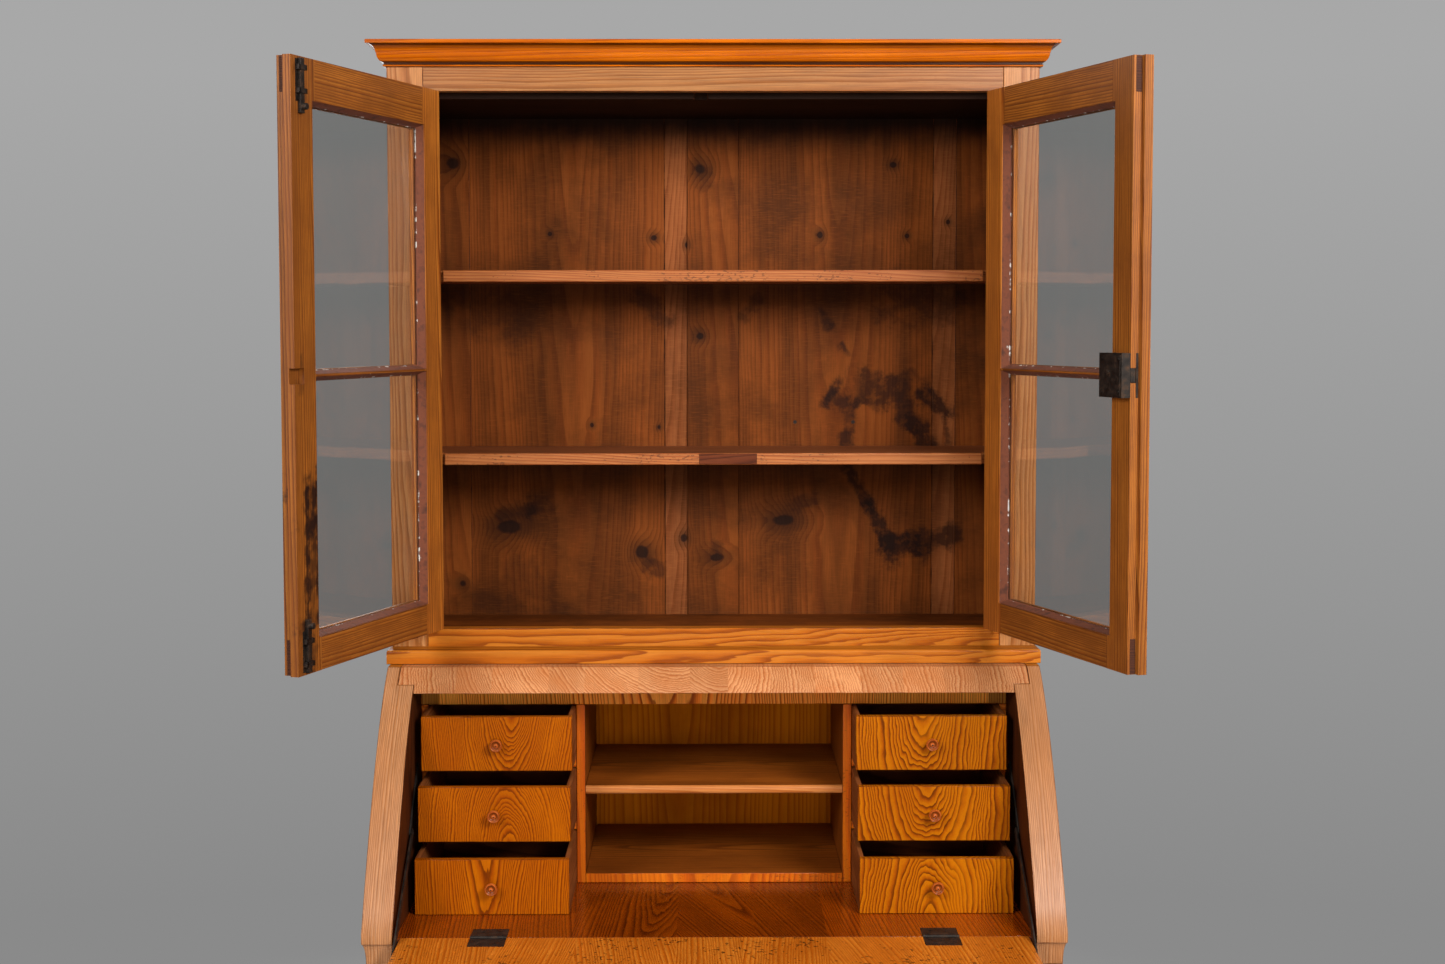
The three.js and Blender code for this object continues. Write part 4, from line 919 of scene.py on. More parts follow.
# pixel, then half width and half height of the knot in millimetres, then how many rings it turns
panelKnots = [
    ((510, 527), 27.0, 15.0, 3.0), ((642, 552), 15.0, 14.0, 2.5), ((783, 520), 24.0, 13.0, 3.0),
    ((717, 557), 15.0, 9.0, 2.0), ((463, 583), 9.0, 9.0, 1.5), ((684, 538), 8.0, 9.0, 1.5),
    ((550, 234), 5.0, 5.0, 1.0), ((654, 238), 7.0, 6.0, 1.5), ((700, 169), 13.0, 12.0, 2.5),
    ((820, 235), 6.0, 7.0, 1.5), ((907, 236), 5.0, 5.0, 1.0), ((948, 222), 4.5, 5.0, 1.0),
    ((453, 164), 15.0, 13.0, 2.0), ((893, 165), 7.0, 6.0, 1.0), ((687, 245), 5.0, 6.0, 1.0),
    ((700, 336), 9.0, 8.0, 1.5), ((592, 425), 4.0, 5.0, 0.8), ((659, 427), 3.5, 4.0, 0.8),
]
# pixels that a stain runs from and to, its half width in millimetres, and strength
panelStains = [
    ((534, 505), (546, 501), 20.0, 0.55), ((502, 514), (528, 508), 15.0, 0.6),
    ((655, 566), (660, 573), 18.0, 0.6), ((797, 505), (812, 500), 13.0, 0.5),
    ((715, 543), (717, 549), 14.0, 0.5), ((700, 174), (706, 182), 14.0, 0.4),
    ((640, 298), (662, 320), 20.0, 0.55), ((746, 314), (757, 300), 13.0, 0.5),
    ((821, 310), (829, 327), 8.0, 0.65), ((842, 343), (848, 354), 7.0, 0.75),
    ((826, 402), (837, 382), 10.0, 0.8), ((830, 399), (853, 404), 15.0, 0.75),
    ((848, 430), (851, 408), 9.0, 0.5), ((845, 438), (846, 447), 13.0, 0.75),
    ((866, 370), (864, 400), 9.0, 0.5), ((862, 386), (905, 393), 30.0, 0.5),
    ((890, 388), (915, 420), 24.0, 0.6), ((918, 393), (948, 412), 14.0, 0.85),
    ((912, 420), (930, 445), 16.0, 0.8), ((945, 415), (948, 441), 7.0, 0.7),
    ((897, 297), (941, 303), 36.0, 0.5), ((466, 300), (515, 318), 40.0, 0.4),
    ((848, 468), (868, 508), 11.0, 0.8), ((868, 508), (888, 545), 13.0, 0.85),
    ((888, 549), (914, 546), 21.0, 0.85), ((914, 542), (950, 536), 19.0, 0.8),
    ((925, 556), (924, 563), 9.0, 0.5), ((515, 566), (535, 590), 26.0, 0.3),
    ((480, 600), (560, 612), 16.0, 0.3),
]


def bookcaseBack():
    low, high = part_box("bookcase_back")
    muntin = back["muntin"] / 2 * mm
    stile, strip = back["stile"] * mm, back["strip"] * mm
    panelY = low.y + back["setback"] * mm
    knots = [(tuple(pixelOnPlane(pixel, panelY)), a * mm, b * mm, turns) for pixel, a, b, turns in panelKnots]
    stains = [(tuple(pixelOnPlane(start, panelY)), tuple(pixelOnPlane(end, panelY)), width * mm, strength)
              for start, end, width, strength in panelStains]
    body = bodyOf("bookcase_back")
    boards = {  # x from and to, how far behind the stiles' face, finish
        "LeftStile": (low.x, low.x + stile, 0.0, "oldPine"),
        "LeftPanel": (low.x + stile, -muntin - strip, panelY - low.y, "oldPine"),
        "LeftStrip": (-muntin - strip, -muntin, panelY - low.y, "sapPine"),
        "Muntin": (-muntin, muntin, 0.0, "oldPine"),
        "RightPanel": (muntin, high.x - stile - strip, panelY - low.y, "oldPine"),
        "RightStrip": (high.x - stile - strip, high.x - stile, panelY - low.y, "sapPine"),
        "RightStile": (high.x - stile, high.x, 0.0, "oldPine"),
    }
    for seed, (name, (x0, x1, setback, finish)) in enumerate(boards.items()):
        near = back["knotReach"] * mm
        own = [knot for knot in knots if x0 - near < knot[0][0] < x1 + near]
        touched = [stain for stain in stains if max(stain[0][0], stain[1][0]) + stain[2] > x0
                   and min(stain[0][0], stain[1][0]) - stain[2] < x1]
        face = woodMaterial("back" + name + "Pine", finish, own, touched, shelfShadowPaint)
        depth = back["panel"] * mm if setback else high.y - low.y
        tongue = back["tongue"] * mm  # panels run on into the grooves of their frame
        left = x0 - tongue if name.endswith("Panel") else x0
        right = x1 + tongue if name.endswith("Strip") else x1
        front = low.y + setback
        boardPiece("back" + name, (left, front, low.z), (right, front + depth, high.z), finish,
                   body, "z", "y", ("bookcase_back",) if name == "Muntin" else (), radius=1.2,
                   skins={"front": face}, heart=(40.0 * (seed % 3) - 50.0, 70.0), slope=0.03, seed=30 + seed)
    nails = [(tuple(pixelOnPlane(pixel, panelY)), (0.0, -1.0, 0.0)) for pixel in back["nailsAt"]]
    addHeads("backNails", {**nail, "radius": back["nailRadius"]}, nails, body)


bookcaseBack()
print("bookcase back made")


# Turned shapes
def addTurned(board, profile, centre, towards, sides=40):
    # profile: radius and distance from the centre along "towards"
    towards = Vector(towards).normalized()
    side = towards.orthogonal().normalized()
    other = towards.cross(side)
    rings = []
    for radius, distance in profile:
        ring = []
        for i in range(sides):
            turn = 2 * math.pi * i / sides
            offset = side * (math.cos(turn) * radius) + other * (math.sin(turn) * radius)
            ring.append(board.verts.new(Vector(centre) + towards * distance + offset))
        rings.append(ring)
    joinRings(board, rings)
    return board


def ironPiece(name, board, body, nodes=(), at=None, radius=0.4):
    easeEdges(board, radius * mm)
    return makePiece(name, board, blackedIron, body, nodes, at)


def ironNode(name, node, radius=0.4):
    return ironPiece(name, nodeBoard(node), bodyOf(node), (node,), radius=radius)


# Glazed doors. "along" runs from the hinge pin to the closing edge, as built shut and then swung open
door = {
    "swing": 108.0, "opening": 461.0, "pinForward": 4.0, "sight": (62.0, 399.0),
    "rows": ((1250.0, 1603.5), (1620.5, 1986.0)), "outer": 4.0, "inner": 30.0,
    "rebate": 7.0, "ovolo": 5.0, "ovoloSteps": 5, "nearEdge": 456.6, "foot": 1195.5, "head": 2050.5,
    "step": 17.0, "joint": 0.05, "ease": 0.7, "bar": 1612.0, "slack": 0.3, "barZone": 60.0, "railZone": 20.0,
}
doorTones = {("left", "HingeStile"): 0.3, ("right", "HingeStile"): 0.45, ("right", "BottomRail"): -0.12,
             ("left", "ClosingStile"): -0.06}  # lighter or darker than the rest; the hinge stiles are painted lighter, painted light on stiles that lie in shade
# through tenons; "from" and "to" are off the step between the frame's outer and inner parts
tenon = {"height": 50.0, "proud": 0.25, "sunk": 3.0, "from": 0.6, "to": 9.0, "inset": 0.4, "ease": 0.2}
# the putty's outline: in from the rebate's edge, and deep in the door
puttyFillet = ((0.1, 15.9), (6.2, 15.9), (5.0, 17.6), (4.2, 20.0), (1.6, 25.5), (0.6, 28.6), (0.1, 28.6))
puttyRim = 17.0  # nearer the glass than this, putty has dried to chalk


def keepBehind(board, point, normal):
    cut = bmesh.ops.bisect_plane(board, geom=everything(board), dist=merging["cut"], plane_co=point,
                                 plane_no=normal, clear_outer=True)
    rim = [item for item in cut["geom_cut"] if isinstance(item, bmesh.types.BMEdge)]
    bmesh.ops.holes_fill(board, edges=rim, sides=0)


def doorPlaces(side):
    sign = -1 if side == "left" else 1
    pin = Vector((sign * door["opening"] * mm, frontPlane - door["pinForward"] * mm, 0.0))
    swing = Matrix.Translation(pin) @ Matrix.Rotation(math.radians(sign * door["swing"]), 4, "Z")

    def at(along, deep, up):
        return Vector((-sign * along * mm, deep * mm, up * mm))

    return swing, at


def doorMembers(side):
    swing, at = doorPlaces(side)
    flip = at(1.0, 0.0, 0.0).x / mm
    node = side + "_door_frame"
    whole = nodeBoard(node, turn=swing.inverted())
    near, far = door["sight"]
    low, high = door["rows"][0][0], door["rows"][1][1]
    slack, barZone = door["slack"], door["barZone"]

    def roundSight(edge):
        if edge.calc_face_angle(0.0) < 1.0:
            return False
        return all(abs(vert.co.y / mm - door["outer"]) < slack
                   and near - slack < flip * vert.co.x / mm < far + slack
                   and low - slack < vert.co.z / mm < high + slack for vert in edge.verts)

    bmesh.ops.bevel(whole, geom=[e for e in whole.edges if roundSight(e)], offset=door["ovolo"] * mm,
                    segments=door["ovoloSteps"], profile=0.5, affect="EDGES")
    ahead, behind = Vector((flip, 0.0, 0.0)), Vector((-flip, 0.0, 0.0))
    nearCut, farCut = at(near + door["joint"], 0, 0), at(far - door["joint"], 0, 0)
    inside = [(nearCut, behind), (farCut, ahead)]
    members = {
        "HingeStile": ([(nearCut, ahead)], None, "z"),
        "ClosingStile": ([(farCut, behind)], None, "z"),
        "TopRail": (inside, (high - door["railZone"], allBelow), "x"),
        "GlazingBar": (inside, (door["bar"] - barZone, door["bar"] + barZone), "x"),
        "BottomRail": (inside, (0, low + door["railZone"]), "x"),
    }
    for seed, (name, (cuts, heights, along)) in enumerate(members.items()):
        board = whole.copy()
        for point, normal in cuts:
            keepBehind(board, point, normal)
        if heights:
            lost = [v for v in board.verts if not heights[0] < v.co.z / mm < heights[1]]
            bmesh.ops.delete(board, geom=lost, context="VERTS")
        joinFlats(board)
        easeEdges(board, door["ease"] * mm)
        heart = (35.0 + 9 * seed, 60.0)
        layGrain(board, along, "y", heart=heart, slope=0.012, seed=seed + (40 if side == "left" else 50),
                 leaves=((allBelow, 0.0, heart, doorTones.get((side, name), 0.0)),))
        finish = "leftClosingElm" if (side, name) == ("left", "ClosingStile") else "doorElm"
        makePiece(side + "Door" + name, board, finish, bodyOf(node), (node,) if name == "HingeStile" else (),
                  swing)
    whole.free()


def doorSmallParts(side):
    swing, at = doorPlaces(side)
    body = bodyOf(side + "_door_frame")
    near, far = (door["sight"][0] - door["rebate"], door["sight"][1] + door["rebate"])
    board = newBoard()
    for low, high in door["rows"]:
        low, high = low - door["rebate"], high + door["rebate"]
        rings = []
        for a, z, da, dz in ((near, low, 1, 1), (far, low, -1, 1), (far, high, -1, -1), (near, high, 1, -1)):
            rings.append([board.verts.new(at(a + da * inset, deep, z + dz * inset))
                          for inset, deep in puttyFillet])
        for face in joinRings(board, rings, close=True):
            if face.calc_center_median().y < puttyRim * mm:
                face[board.faces.layers.float["edge"]] = 1.0
    easeEdges(board, 0.0, 50.0)
    layGrain(board, "z", "y")
    putty = makePiece(side + "DoorPutty", board, glazingPutty, body, (), swing)

    # through tenons show on the closing edge, under the head and over the foot
    outward = -1 if side == "left" else 1
    front, rear = sorted(door["step"] + outward * tenon[key] for key in ("from", "to"))
    board = newBoard()
    for low, high in ((door["head"] - tenon["height"], door["head"] - tenon["inset"]),
                      (door["foot"] + tenon["inset"], door["foot"] + tenon["height"])):
        addBox(board, at(door["nearEdge"] - tenon["sunk"], front, low),
               at(door["nearEdge"] + tenon["proud"], rear, high))
    easeEdges(board, tenon["ease"] * mm)
    layGrain(board, "x", "z", heart=(4.0, 30.0), seed=60)
    makePiece(side + "DoorTenons", board, "endGrainElm", body, (), swing)


leftSwing, leftAt = doorPlaces("left")
# where hands and the bolt have blackened the left door's closing stile: along, from, to, half width, strength
handMarks = [
    (420.0, 1445.0, 1400.0, 24.0, 0.95), (437.0, 1450.0, 1235.0, 8.0, 0.9),
    (403.0, 1462.0, 1275.0, 8.0, 0.9), (420.0, 1405.0, 1335.0, 18.0, 0.7),
    (421.0, 1300.0, 1275.0, 13.0, 0.5), (404.0, 1480.0, 1462.0, 6.0, 0.8),
    (441.0, 1262.0, 1203.0, 14.0, 0.85), (425.0, 1225.0, 1210.0, 12.0, 0.55),
    (441.0, 2040.0, 1985.0, 12.0, 0.6), (446.0, 1640.0, 1590.0, 6.0, 0.5),
]
handStain = [(*(tuple(leftSwing @ leftAt(along, door["inner"], up)) for up in (top, low)), width * mm,
              strength) for along, top, low, width, strength in handMarks]
woodMaterial("leftClosingElm", "doorElm", (), handStain)

for side in ("left", "right"):
    doorMembers(side)
    doorSmallParts(side)
    for row in ("lower", "upper"):
        pane = frame["nodes"][side + "_pane_" + row]
        for materialSlot in pane.material_slots:
            materialSlot.material = windowGlass
        ironNode(side + row.capitalize() + "DoorHinge", side + "_hinge_" + row)
print("doors made")


# Shoot bolts with their plates, on the left door. Each has two staples, whose legs stand clear of the bolt
shootBolt = {
    "width": 22.0, "height": 58.0, "thickness": 0.25, "sunk": 0.5, "along": 441.0, "reach": 6.6, "clear": 5.6,
    "roof": 5.5, "band": 7.0, "inset": 4.0, "staplesAt": (8.0, 40.0), "screwsAt": (21.0, 34.0),
    "screwIn": 3.0, "ease": 0.3, "plateEase": 0.1, "boltEase": 0.6,
}
smallScrew = {**screw, "radius": 2.2, "height": 0.7}


def shootBoltFittings():
    swing, at = doorPlaces("left")
    body = bodyOf("left_door_frame")
    look = shootBolt
    half, along, deep = look["width"] / 2, look["along"], door["inner"]
    roof, top = deep + look["roof"], deep + look["reach"]
    screws, board, plates = [], newBoard(), newBoard()
    for end, up in ((door["head"] - look["inset"], -1), (door["foot"] + look["inset"], 1)):
        for offset in look["staplesAt"]:
            low = end + up * offset
            high = low + up * look["band"]
            addBox(board, at(along - half, deep, low), at(along - look["clear"], top, high))
            addBox(board, at(along + look["clear"], deep, low), at(along + half, top, high))
            addBox(board, at(along - half, roof, low), at(along + half, top, high))
        for across in (-1, 1):
            for offset in look["screwsAt"]:
                place = at(along + across * (half - look["screwIn"]), deep + 0.1, end + up * offset)
                screws.append((tuple(place), (0.0, 1.0, 0.0)))
        addBox(plates, at(along - half, deep - look["sunk"], end),
               at(along + half, deep + look["thickness"], end + up * look["height"]))
    ironPiece("shootBoltStaples", board, body, (), swing, radius=look["ease"])
    ironPiece("shootBoltPlates", plates, body, (), swing, radius=look["plateEase"])
    addHeads("shootBoltScrews", smallScrew, screws, body, swing)
    ironNode("upperShootBolt", "shoot_bolt_top", look["boltEase"])
    ironNode("lowerShootBolt", "shoot_bolt_bottom", look["boltEase"])


shootBoltFittings()

# Rim lock on the right door: a case with a raised cap and the key's collar, and an edge plate in two strips
lock = {
    "low": 394.6, "high": 456.6, "half": 31.0, "back": 44.3, "keyAlong": 421.0, "keyUp": 4.0, "cap": 1.0,
    "inset": 2.6, "plate": 0.5, "sunk": 0.4, "stripFrom": 1.0, "stripTo": 4.6, "screwIn": 8.0,
    "screwUp": 23.0, "collar": ((4.2, 0.0), (4.2, 1.6), (3.0, 2.0)), "collarSides": 20,
    "capSunk": 0.2, "collarSunk": 0.3, "screwRadius": 2.8, "caseEase": 0.9, "ease": 0.5,
}
# The key's escutcheon on the outer face: a waisted oval with a hole
escutcheon = {
    "rise": 17.0, "half": 9.0, "waist": 0.18, "thickness": 0.9, "points": 28, "holeHalf": 3.4,
    "holeRise": 4.4, "holeDrop": 1.2, "pinUp": 13.0, "pinRadius": 1.3,
}


def lockFittings():
    swing, at = doorPlaces("right")
    body = bodyOf("right_door_frame")
    middle, half, back = door["bar"], lock["half"], lock["back"]
    ironNode("lockCase", "lock_case", lock["caseEase"])
    ironNode("lockBolt", "lock_bolt", lock["ease"])
    ironNode("doorKey", "door_key", lock["ease"])
    inset, top = lock["inset"], back + lock["cap"]
    board = addBox(newBoard(), at(lock["low"] + inset, back - lock["capSunk"], middle - half + inset),
                   at(lock["high"] - inset, top, middle + half - inset))
    addTurned(board, [(radius * mm, out * mm) for radius, out in lock["collar"]],
              at(lock["keyAlong"], top - lock["collarSunk"], middle + lock["keyUp"]), (0, 1, 0),
              lock["collarSides"])
    ironPiece("lockCap", board, body, (), swing)
    edge = newBoard()
    for near, far in ((door["step"] + lock["stripFrom"], door["step"] + lock["stripTo"]),
                      (door["inner"] + 0.3, back)):
        addBox(edge, at(lock["high"] - lock["sunk"], near, middle - half),
               at(lock["high"] + lock["plate"], far, middle + half))
    ironPiece("lockEdgePlate", edge, body, (), swing, radius=0.2)
    corners = [(tuple(at(along, top, middle + up)), (0.0, 1.0, 0.0))
               for along in (lock["low"] + lock["screwIn"], lock["high"] - lock["screwIn"])
               for up in (-lock["screwUp"], lock["screwUp"])]
    addHeads("lockScrews", {**screw, "radius": lock["screwRadius"]}, corners, body, swing)

    look = escutcheon
    front = door["outer"] - look["thickness"]
    outline, hole = [], []
    for i in range(look["points"]):
        turn = 2 * math.pi * i / look["points"]
        rise = look["rise"] * math.sin(turn) * (1 - look["waist"] * math.sin(2 * turn) ** 2)
        outline.append((lock["keyAlong"] + look["half"] * math.cos(turn), middle + rise))
        hole.append((lock["keyAlong"] + look["holeHalf"] * math.cos(turn),
                     middle - look["holeDrop"] + look["holeRise"] * math.sin(turn)))
    plate = newBoard()
    joinRings(plate, [[plate.verts.new(at(along, deep, up)) for along, up in loop] for loop, deep in (
        (hole, door["outer"]), (outline, door["outer"]), (outline, front), (hole, front))], close=True)
    ironPiece("keyEscutcheon", plate, body, (), swing, radius=0.15)
    pins = [(tuple(at(lock["keyAlong"], front, middle + up)), (0.0, -1.0, 0.0))
            for up in (-look["pinUp"], look["pinUp"])]
    addHeads("escutcheonPins", {**nail, "radius": look["pinRadius"]}, pins, body, swing)


lockFittings()
print("door ironwork made")


# Bureau
def bySide(boundary, wall, inner):
    # one rule for a node made of an upright wall and level boards
    def rule(face):
        return wall if abs(face.calc_center_median().x) > boundary else inner
    return rule


for side in ("left", "right"):
    sign = -1 if side == "left" else 1
    # the sides' inner faces are painted dark: painted shade
    easedNode(side + "BureauSide", "bureau_side_" + side, "waxedElm", "z", "x",
              skins={"front": "cheekElm", "inside": "shadowedInteriorElm"}, heart=(140.0, 60.0 * sign),
              slope=0.03 * sign, seed=70 + sign, edgeRun=True)
# leaves of veneer along x: end, lean of the grain, the tree's heart, tone
railLeaves = (
    (-408, 0.10, (40, 30), -0.12), (-352, 0.45, (60, 25), -0.05), (-262, 0.55, (90, 40), 0.1),
    (-205, 0.5, (70, 30), -0.03), (-120, 0.45, (100, 35), 0.04), (-38, 0.3, (60, 50), -0.04),
    (22, 0.15, (-10, 22), -0.1), (90, 0.35, (50, 30), 0.06), (160, 0.5, (80, 40), -0.02),
    (232, 0.55, (60, 30), 0.08), (300, 0.45, (90, 40), -0.06), (365, 0.4, (70, 30), 0.05),
    (415, 0.3, (60, 40), -0.08), (allBelow, 0.1, (40, 30), -0.12),
)
easedNode("slantRail", "slant_rail", "veneerElm", "z", "y", leaves=railLeaves, slope=0.15, seed=72)
easedNode("bureauTop", "bureau_top", "waxedElm", "x", "z", seed=73)
easedNode("bureauBack", "bureau_back", "oldPine", "z", "y", heart=(60.0, 50.0),
          skins={"front": "goldPine"}, seed=74)
easedNode("frontRail", "front_rail", "waxedElm", "x", "y", heart=(20.0, 40.0), seed=75)
boardLeaves = (
    (-213, 0.05, (90, 40), 0.25), (-57, -0.1, (70, 40), 0.0), (60, 0.35, (20, 20), 0.05),
    (167, 0.3, (60, 25), 0.0), (allBelow, 0.1, (90, 40), 0.45),
)
easedNode("writingBoard", "writing_board", "writingElm", "y", "z", 0.8, leaves=boardLeaves,
          slope=0.08, seed=76)

# places are behind the bookcase's front and up; a stud stands out of each end of the flap for its stay
flap = {"half": 466.0, "stud": 5.0, "studPlace": (-340.0, 762.0), "studDeep": 4.0, "proud": 1.4,
        "pin": (-283.0, 775.0), "ease": 1.2}
flapHinge = {"leaf": 2.0, "depth": 43.0, "width": 54.0, "clear": 3.2, "centre": 336.0, "screwSunk": 0.5,
             "screws": ((13.0, 18.0), (30.0, 12.0))}  # off the pin, off the hinge's middle
flapLeaves = (
    (-330, 0.05, (70, 40), -0.05), (-205, -0.1, (60, 30), 0.0), (-57, 0.1, (-5, 16), 0.04),
    (40, 0.05, (80, 40), -0.03), (165, -0.05, (60, 40), 0.03), (300, 0.2, (0, 14), 0.02),
    (allBelow, 0.05, (80, 40), -0.04),
)


def writingFlap():
    board = nodeBoard("writing_flap", flapLeaves)
    for sign in (-1, 1):
        keepBehind(board, Vector((sign * (flap["half"] + 0.02) * mm, 0, 0)), Vector((sign, 0, 0)))
    easeEdges(board, flap["ease"] * mm)
    layGrain(board, "y", "z", leaves=flapLeaves, slope=0.05, seed=80)
    makePiece("writingFlap", board, "flapElm", "flap", ("writing_flap",))
    studs = newBoard()
    deep, up = flap["studPlace"]
    for sign in (-1, 1):
        centre = (sign * (flap["half"] - flap["studDeep"]) * mm, frontPlane + deep * mm, up * mm)
        length = (flap["studDeep"] + flap["proud"]) * mm
        addTurned(studs, ((flap["stud"] * mm, 0.0), (flap["stud"] * mm, length)), centre, (sign, 0, 0), 28)
    ironPiece("stayStuds", studs, "flap", radius=0.3)


writingFlap()


def flapHinges():
    deep, up = flap["pin"]
    y, z = frontPlane + deep * mm, up * mm
    look = flapHinge
    leaves = newBoard()
    fixed, moving = [], []
    for side, sign in (("left", -1), ("right", 1)):
        centre = sign * look["centre"] * mm
        half = look["width"] / 2 * mm
        ironNode(side + "FlapHinge", "flap_hinge_" + side, 0.3)
        addBox(leaves, (centre - half, y - look["depth"] * mm, z - look["leaf"] * mm),
               (centre + half, y - look["clear"] * mm, z))
        for across in (-1, 1):
            for off, spread in look["screws"]:
                for heads, where in ((fixed, y + off * mm), (moving, y - off * mm)):
                    place = (centre + spread * across * mm, where, z - look["screwSunk"] * mm)
                    heads.append((place, (0, 0, 1)))
    ironPiece("flapHingeLeaves", leaves, "flap", radius=0.3)
    addHeads("writingBoardScrews", screw, fixed, bodyOf("writing_board"))
    addHeads("flapScrews", {**screw, "seed": 9}, moving, "flap")


flapHinges()

# Folding stays: each link's inner face, its rivets' places and how far their heads stand out
stays = {
    "Upper": {"inner": 471.1, "rivets": ((-45.0, 978.0),), "height": 0.9},
    "Lower": {"inner": 467.9, "rivets": ((-134.65, 893.79), flap["studPlace"]), "height": 0.8},
}
stayEase, rivetRadius = 0.35, 3.4
for side, sign in (("left", -1), ("right", 1)):
    for part in stays:
        ironNode(side + "Stay" + part, "stay_" + part.lower() + "_" + side, stayEase)
    for part, look in stays.items():
        spots = [((sign * look["inner"] * mm, frontPlane + deep * mm, up * mm), (-sign, 0, 0))
                 for deep, up in look["rivets"]]
        rivet = {**nail, "radius": rivetRadius, "height": look["height"]}
        addHeads(side + "Stay" + part + "Rivets", rivet, spots, bodyOf("stay_" + part.lower() + "_" + side))
print("bureau made")


# Cabinet of small drawers
stripLeaves = (
    (-445, 0.0, (60, 30), -0.55), (-215, 0.05, (60, 40), 0.12), (-60, 0.05, (80, 30), 0.0),
    (60, -0.05, (60, 40), 0.05), (205, 0.1, (70, 30), -0.02), (445, 0.0, (60, 40), 0.1),
    (allBelow, 0.0, (60, 30), -0.55),
)
edgeBand = {"front": "bandElm"}
bayWall = 461.9 * mm  # past this the small drawers' bays are upright wall
# the cabinet's top and the bays' walls are painted dark: painted shade
easedNode("cabinetTop", "cabinet_top", "shadowedInteriorElm", "z", "y", skins={"front": "stripedElm"},
          leaves=stripLeaves, seed=90)
easedNode("cabinetFloor", "cabinet_floor", "boxElm", "x", "z", skins=edgeBand, seed=91,
          rule=lambda face: ("z", "y") if facings["front"](face) else ("x", "z"))
easedNode("cabinetShelf", "cabinet_shelf", "boxElm", "x", "z", skins={"front": "handledElm"}, seed=92)
for side in ("left", "right"):
    sign = -1 if side == "left" else 1
    easedNode(side + "Partition", "cabinet_partition_" + side, "boxElm", "z", "x", skins=edgeBand,
              heart=(20.0, 40.0), seed=93 + sign)
    easedNode(side + "Bay", "cabinet_bay_" + side, "shadowedInteriorElm", "x", "z", skins=edgeBand, seed=96 + sign,
              rule=bySide(bayWall, ("z", "x"), ("x", "z")))

smallDrawer = {
    "length": 296.0, "front": 12.0, "side": 7.0, "bottom": 5.0, "back": 6.0, "backDrop": 7.0, "tail": 8.0,
    "knobRadius": 9.8, "knobLength": 20.0, "tails": 3, "knobsAt": (0.0,),
}
longDrawer = {
    "length": 560.0, "front": 22.0, "side": 12.0, "bottom": 9.0, "back": 10.0, "backDrop": 12.0, "tail": 15.0,
    "knobRadius": 18.0, "knobLength": 32.0, "tails": 5, "knobsAt": (-0.57, 0.57),
}
# dovetails: half widths at the tip and root in shares of their pitch; then margins in millimetres
dovetail = {"tip": 0.36, "root": 0.26, "margin": 0.2, "proud": 0.06, "ease": 0.25}
drawerBack, drawerGroove = 1.0, 1.5  # how far the back is set in, and how high the bottom's groove lies
# knobs, in shares of radius and of length: a neck, a rounded rim, a dished face with a button in it
knobTurning = (
    (0.54, -0.12), (0.54, 0.02), (0.62, 0.04), (0.62, 0.09), (0.50, 0.13), (0.45, 0.28), (0.50, 0.40),
    (0.72, 0.48), (0.92, 0.56), (1.0, 0.66), (1.0, 0.74), (0.95, 0.84), (0.86, 0.89), (0.76, 0.88),
    (0.66, 0.80), (0.50, 0.73), (0.40, 0.72), (0.36, 0.76), (0.30, 0.84), (0.20, 0.88), (0.10, 0.89),
)
knobNail = {"radius": 0.11, "at": 0.885, "height": 0.3}
# painted shade and highlight on a knob: from and to in share of its radius, out to this share of its length,
# tone
knobShadeAndHighlight = ((0.0, 2.0, 0.45, -0.75), (0.9, 2.0, 9.0, 0.2), (0.72, 0.9, 9.0, 0.15), (0.36, 0.72, 9.0, -0.4),
             (0.0, 0.36, 9.0, 0.25))
drawerCrowns = {  # the tree's heart across and behind each front, and the slope that draws its arches out
    "topLeftDrawer": ((-22.0, 20.0), 0.34), "middleLeftDrawer": ((-24.0, 26.0), -0.4),
    "bottomLeftDrawer": ((8.0, 34.0), 0.1), "topRightDrawer": ((12.0, 22.0), 0.36),
    "middleRightDrawer": ((8.0, 24.0), 0.4), "bottomRightDrawer": ((6.0, 20.0), -0.38),
    "topLongDrawer": ((60.0, 30.0), 0.2), "middleLongDrawer": ((-30.0, 34.0), -0.22),
    "bottomLongDrawer": ((10.0, 28.0), 0.2),
}


def addKnob(name, look, place, body):
    board = newBoard()
    radius, length = look["knobRadius"] * mm, look["knobLength"] * mm
    profile = [(radius * a, length * b) for a, b in knobTurning]
    addTurned(board, profile, place, (0, -1, 0), 44)
    easeEdges(board, 0.0, 50.0)
    layGrain(board, "y", "z", heart=(1.5, 2.0), slope=0.02, seed=int(abs(place[0] * 900 + place[2] * 70)))
    toneLayer = board.faces.layers.float["tone"]
    for face in board.faces:  # painted shade in the neck and the dish, painted highlight on the rim and the button
        middle = face.calc_center_median()
        reach = math.hypot(middle.x - place[0], middle.z - place[2]) / radius
        depth = (place[1] - middle.y) / length
        face[toneLayer] = next(tone for low, high, far, tone in knobShadeAndHighlight
                               if low <= reach < high and depth < far)
    makePiece(name, board, "knobElm", body)
    head = {**nail, "radius": look["knobRadius"] * knobNail["radius"], "height": knobNail["height"]}
    middle = (place[0], place[1] - length * knobNail["at"], place[2])
    addHeads(name + "Nail", head, [(middle, (0, -1, 0))], body)


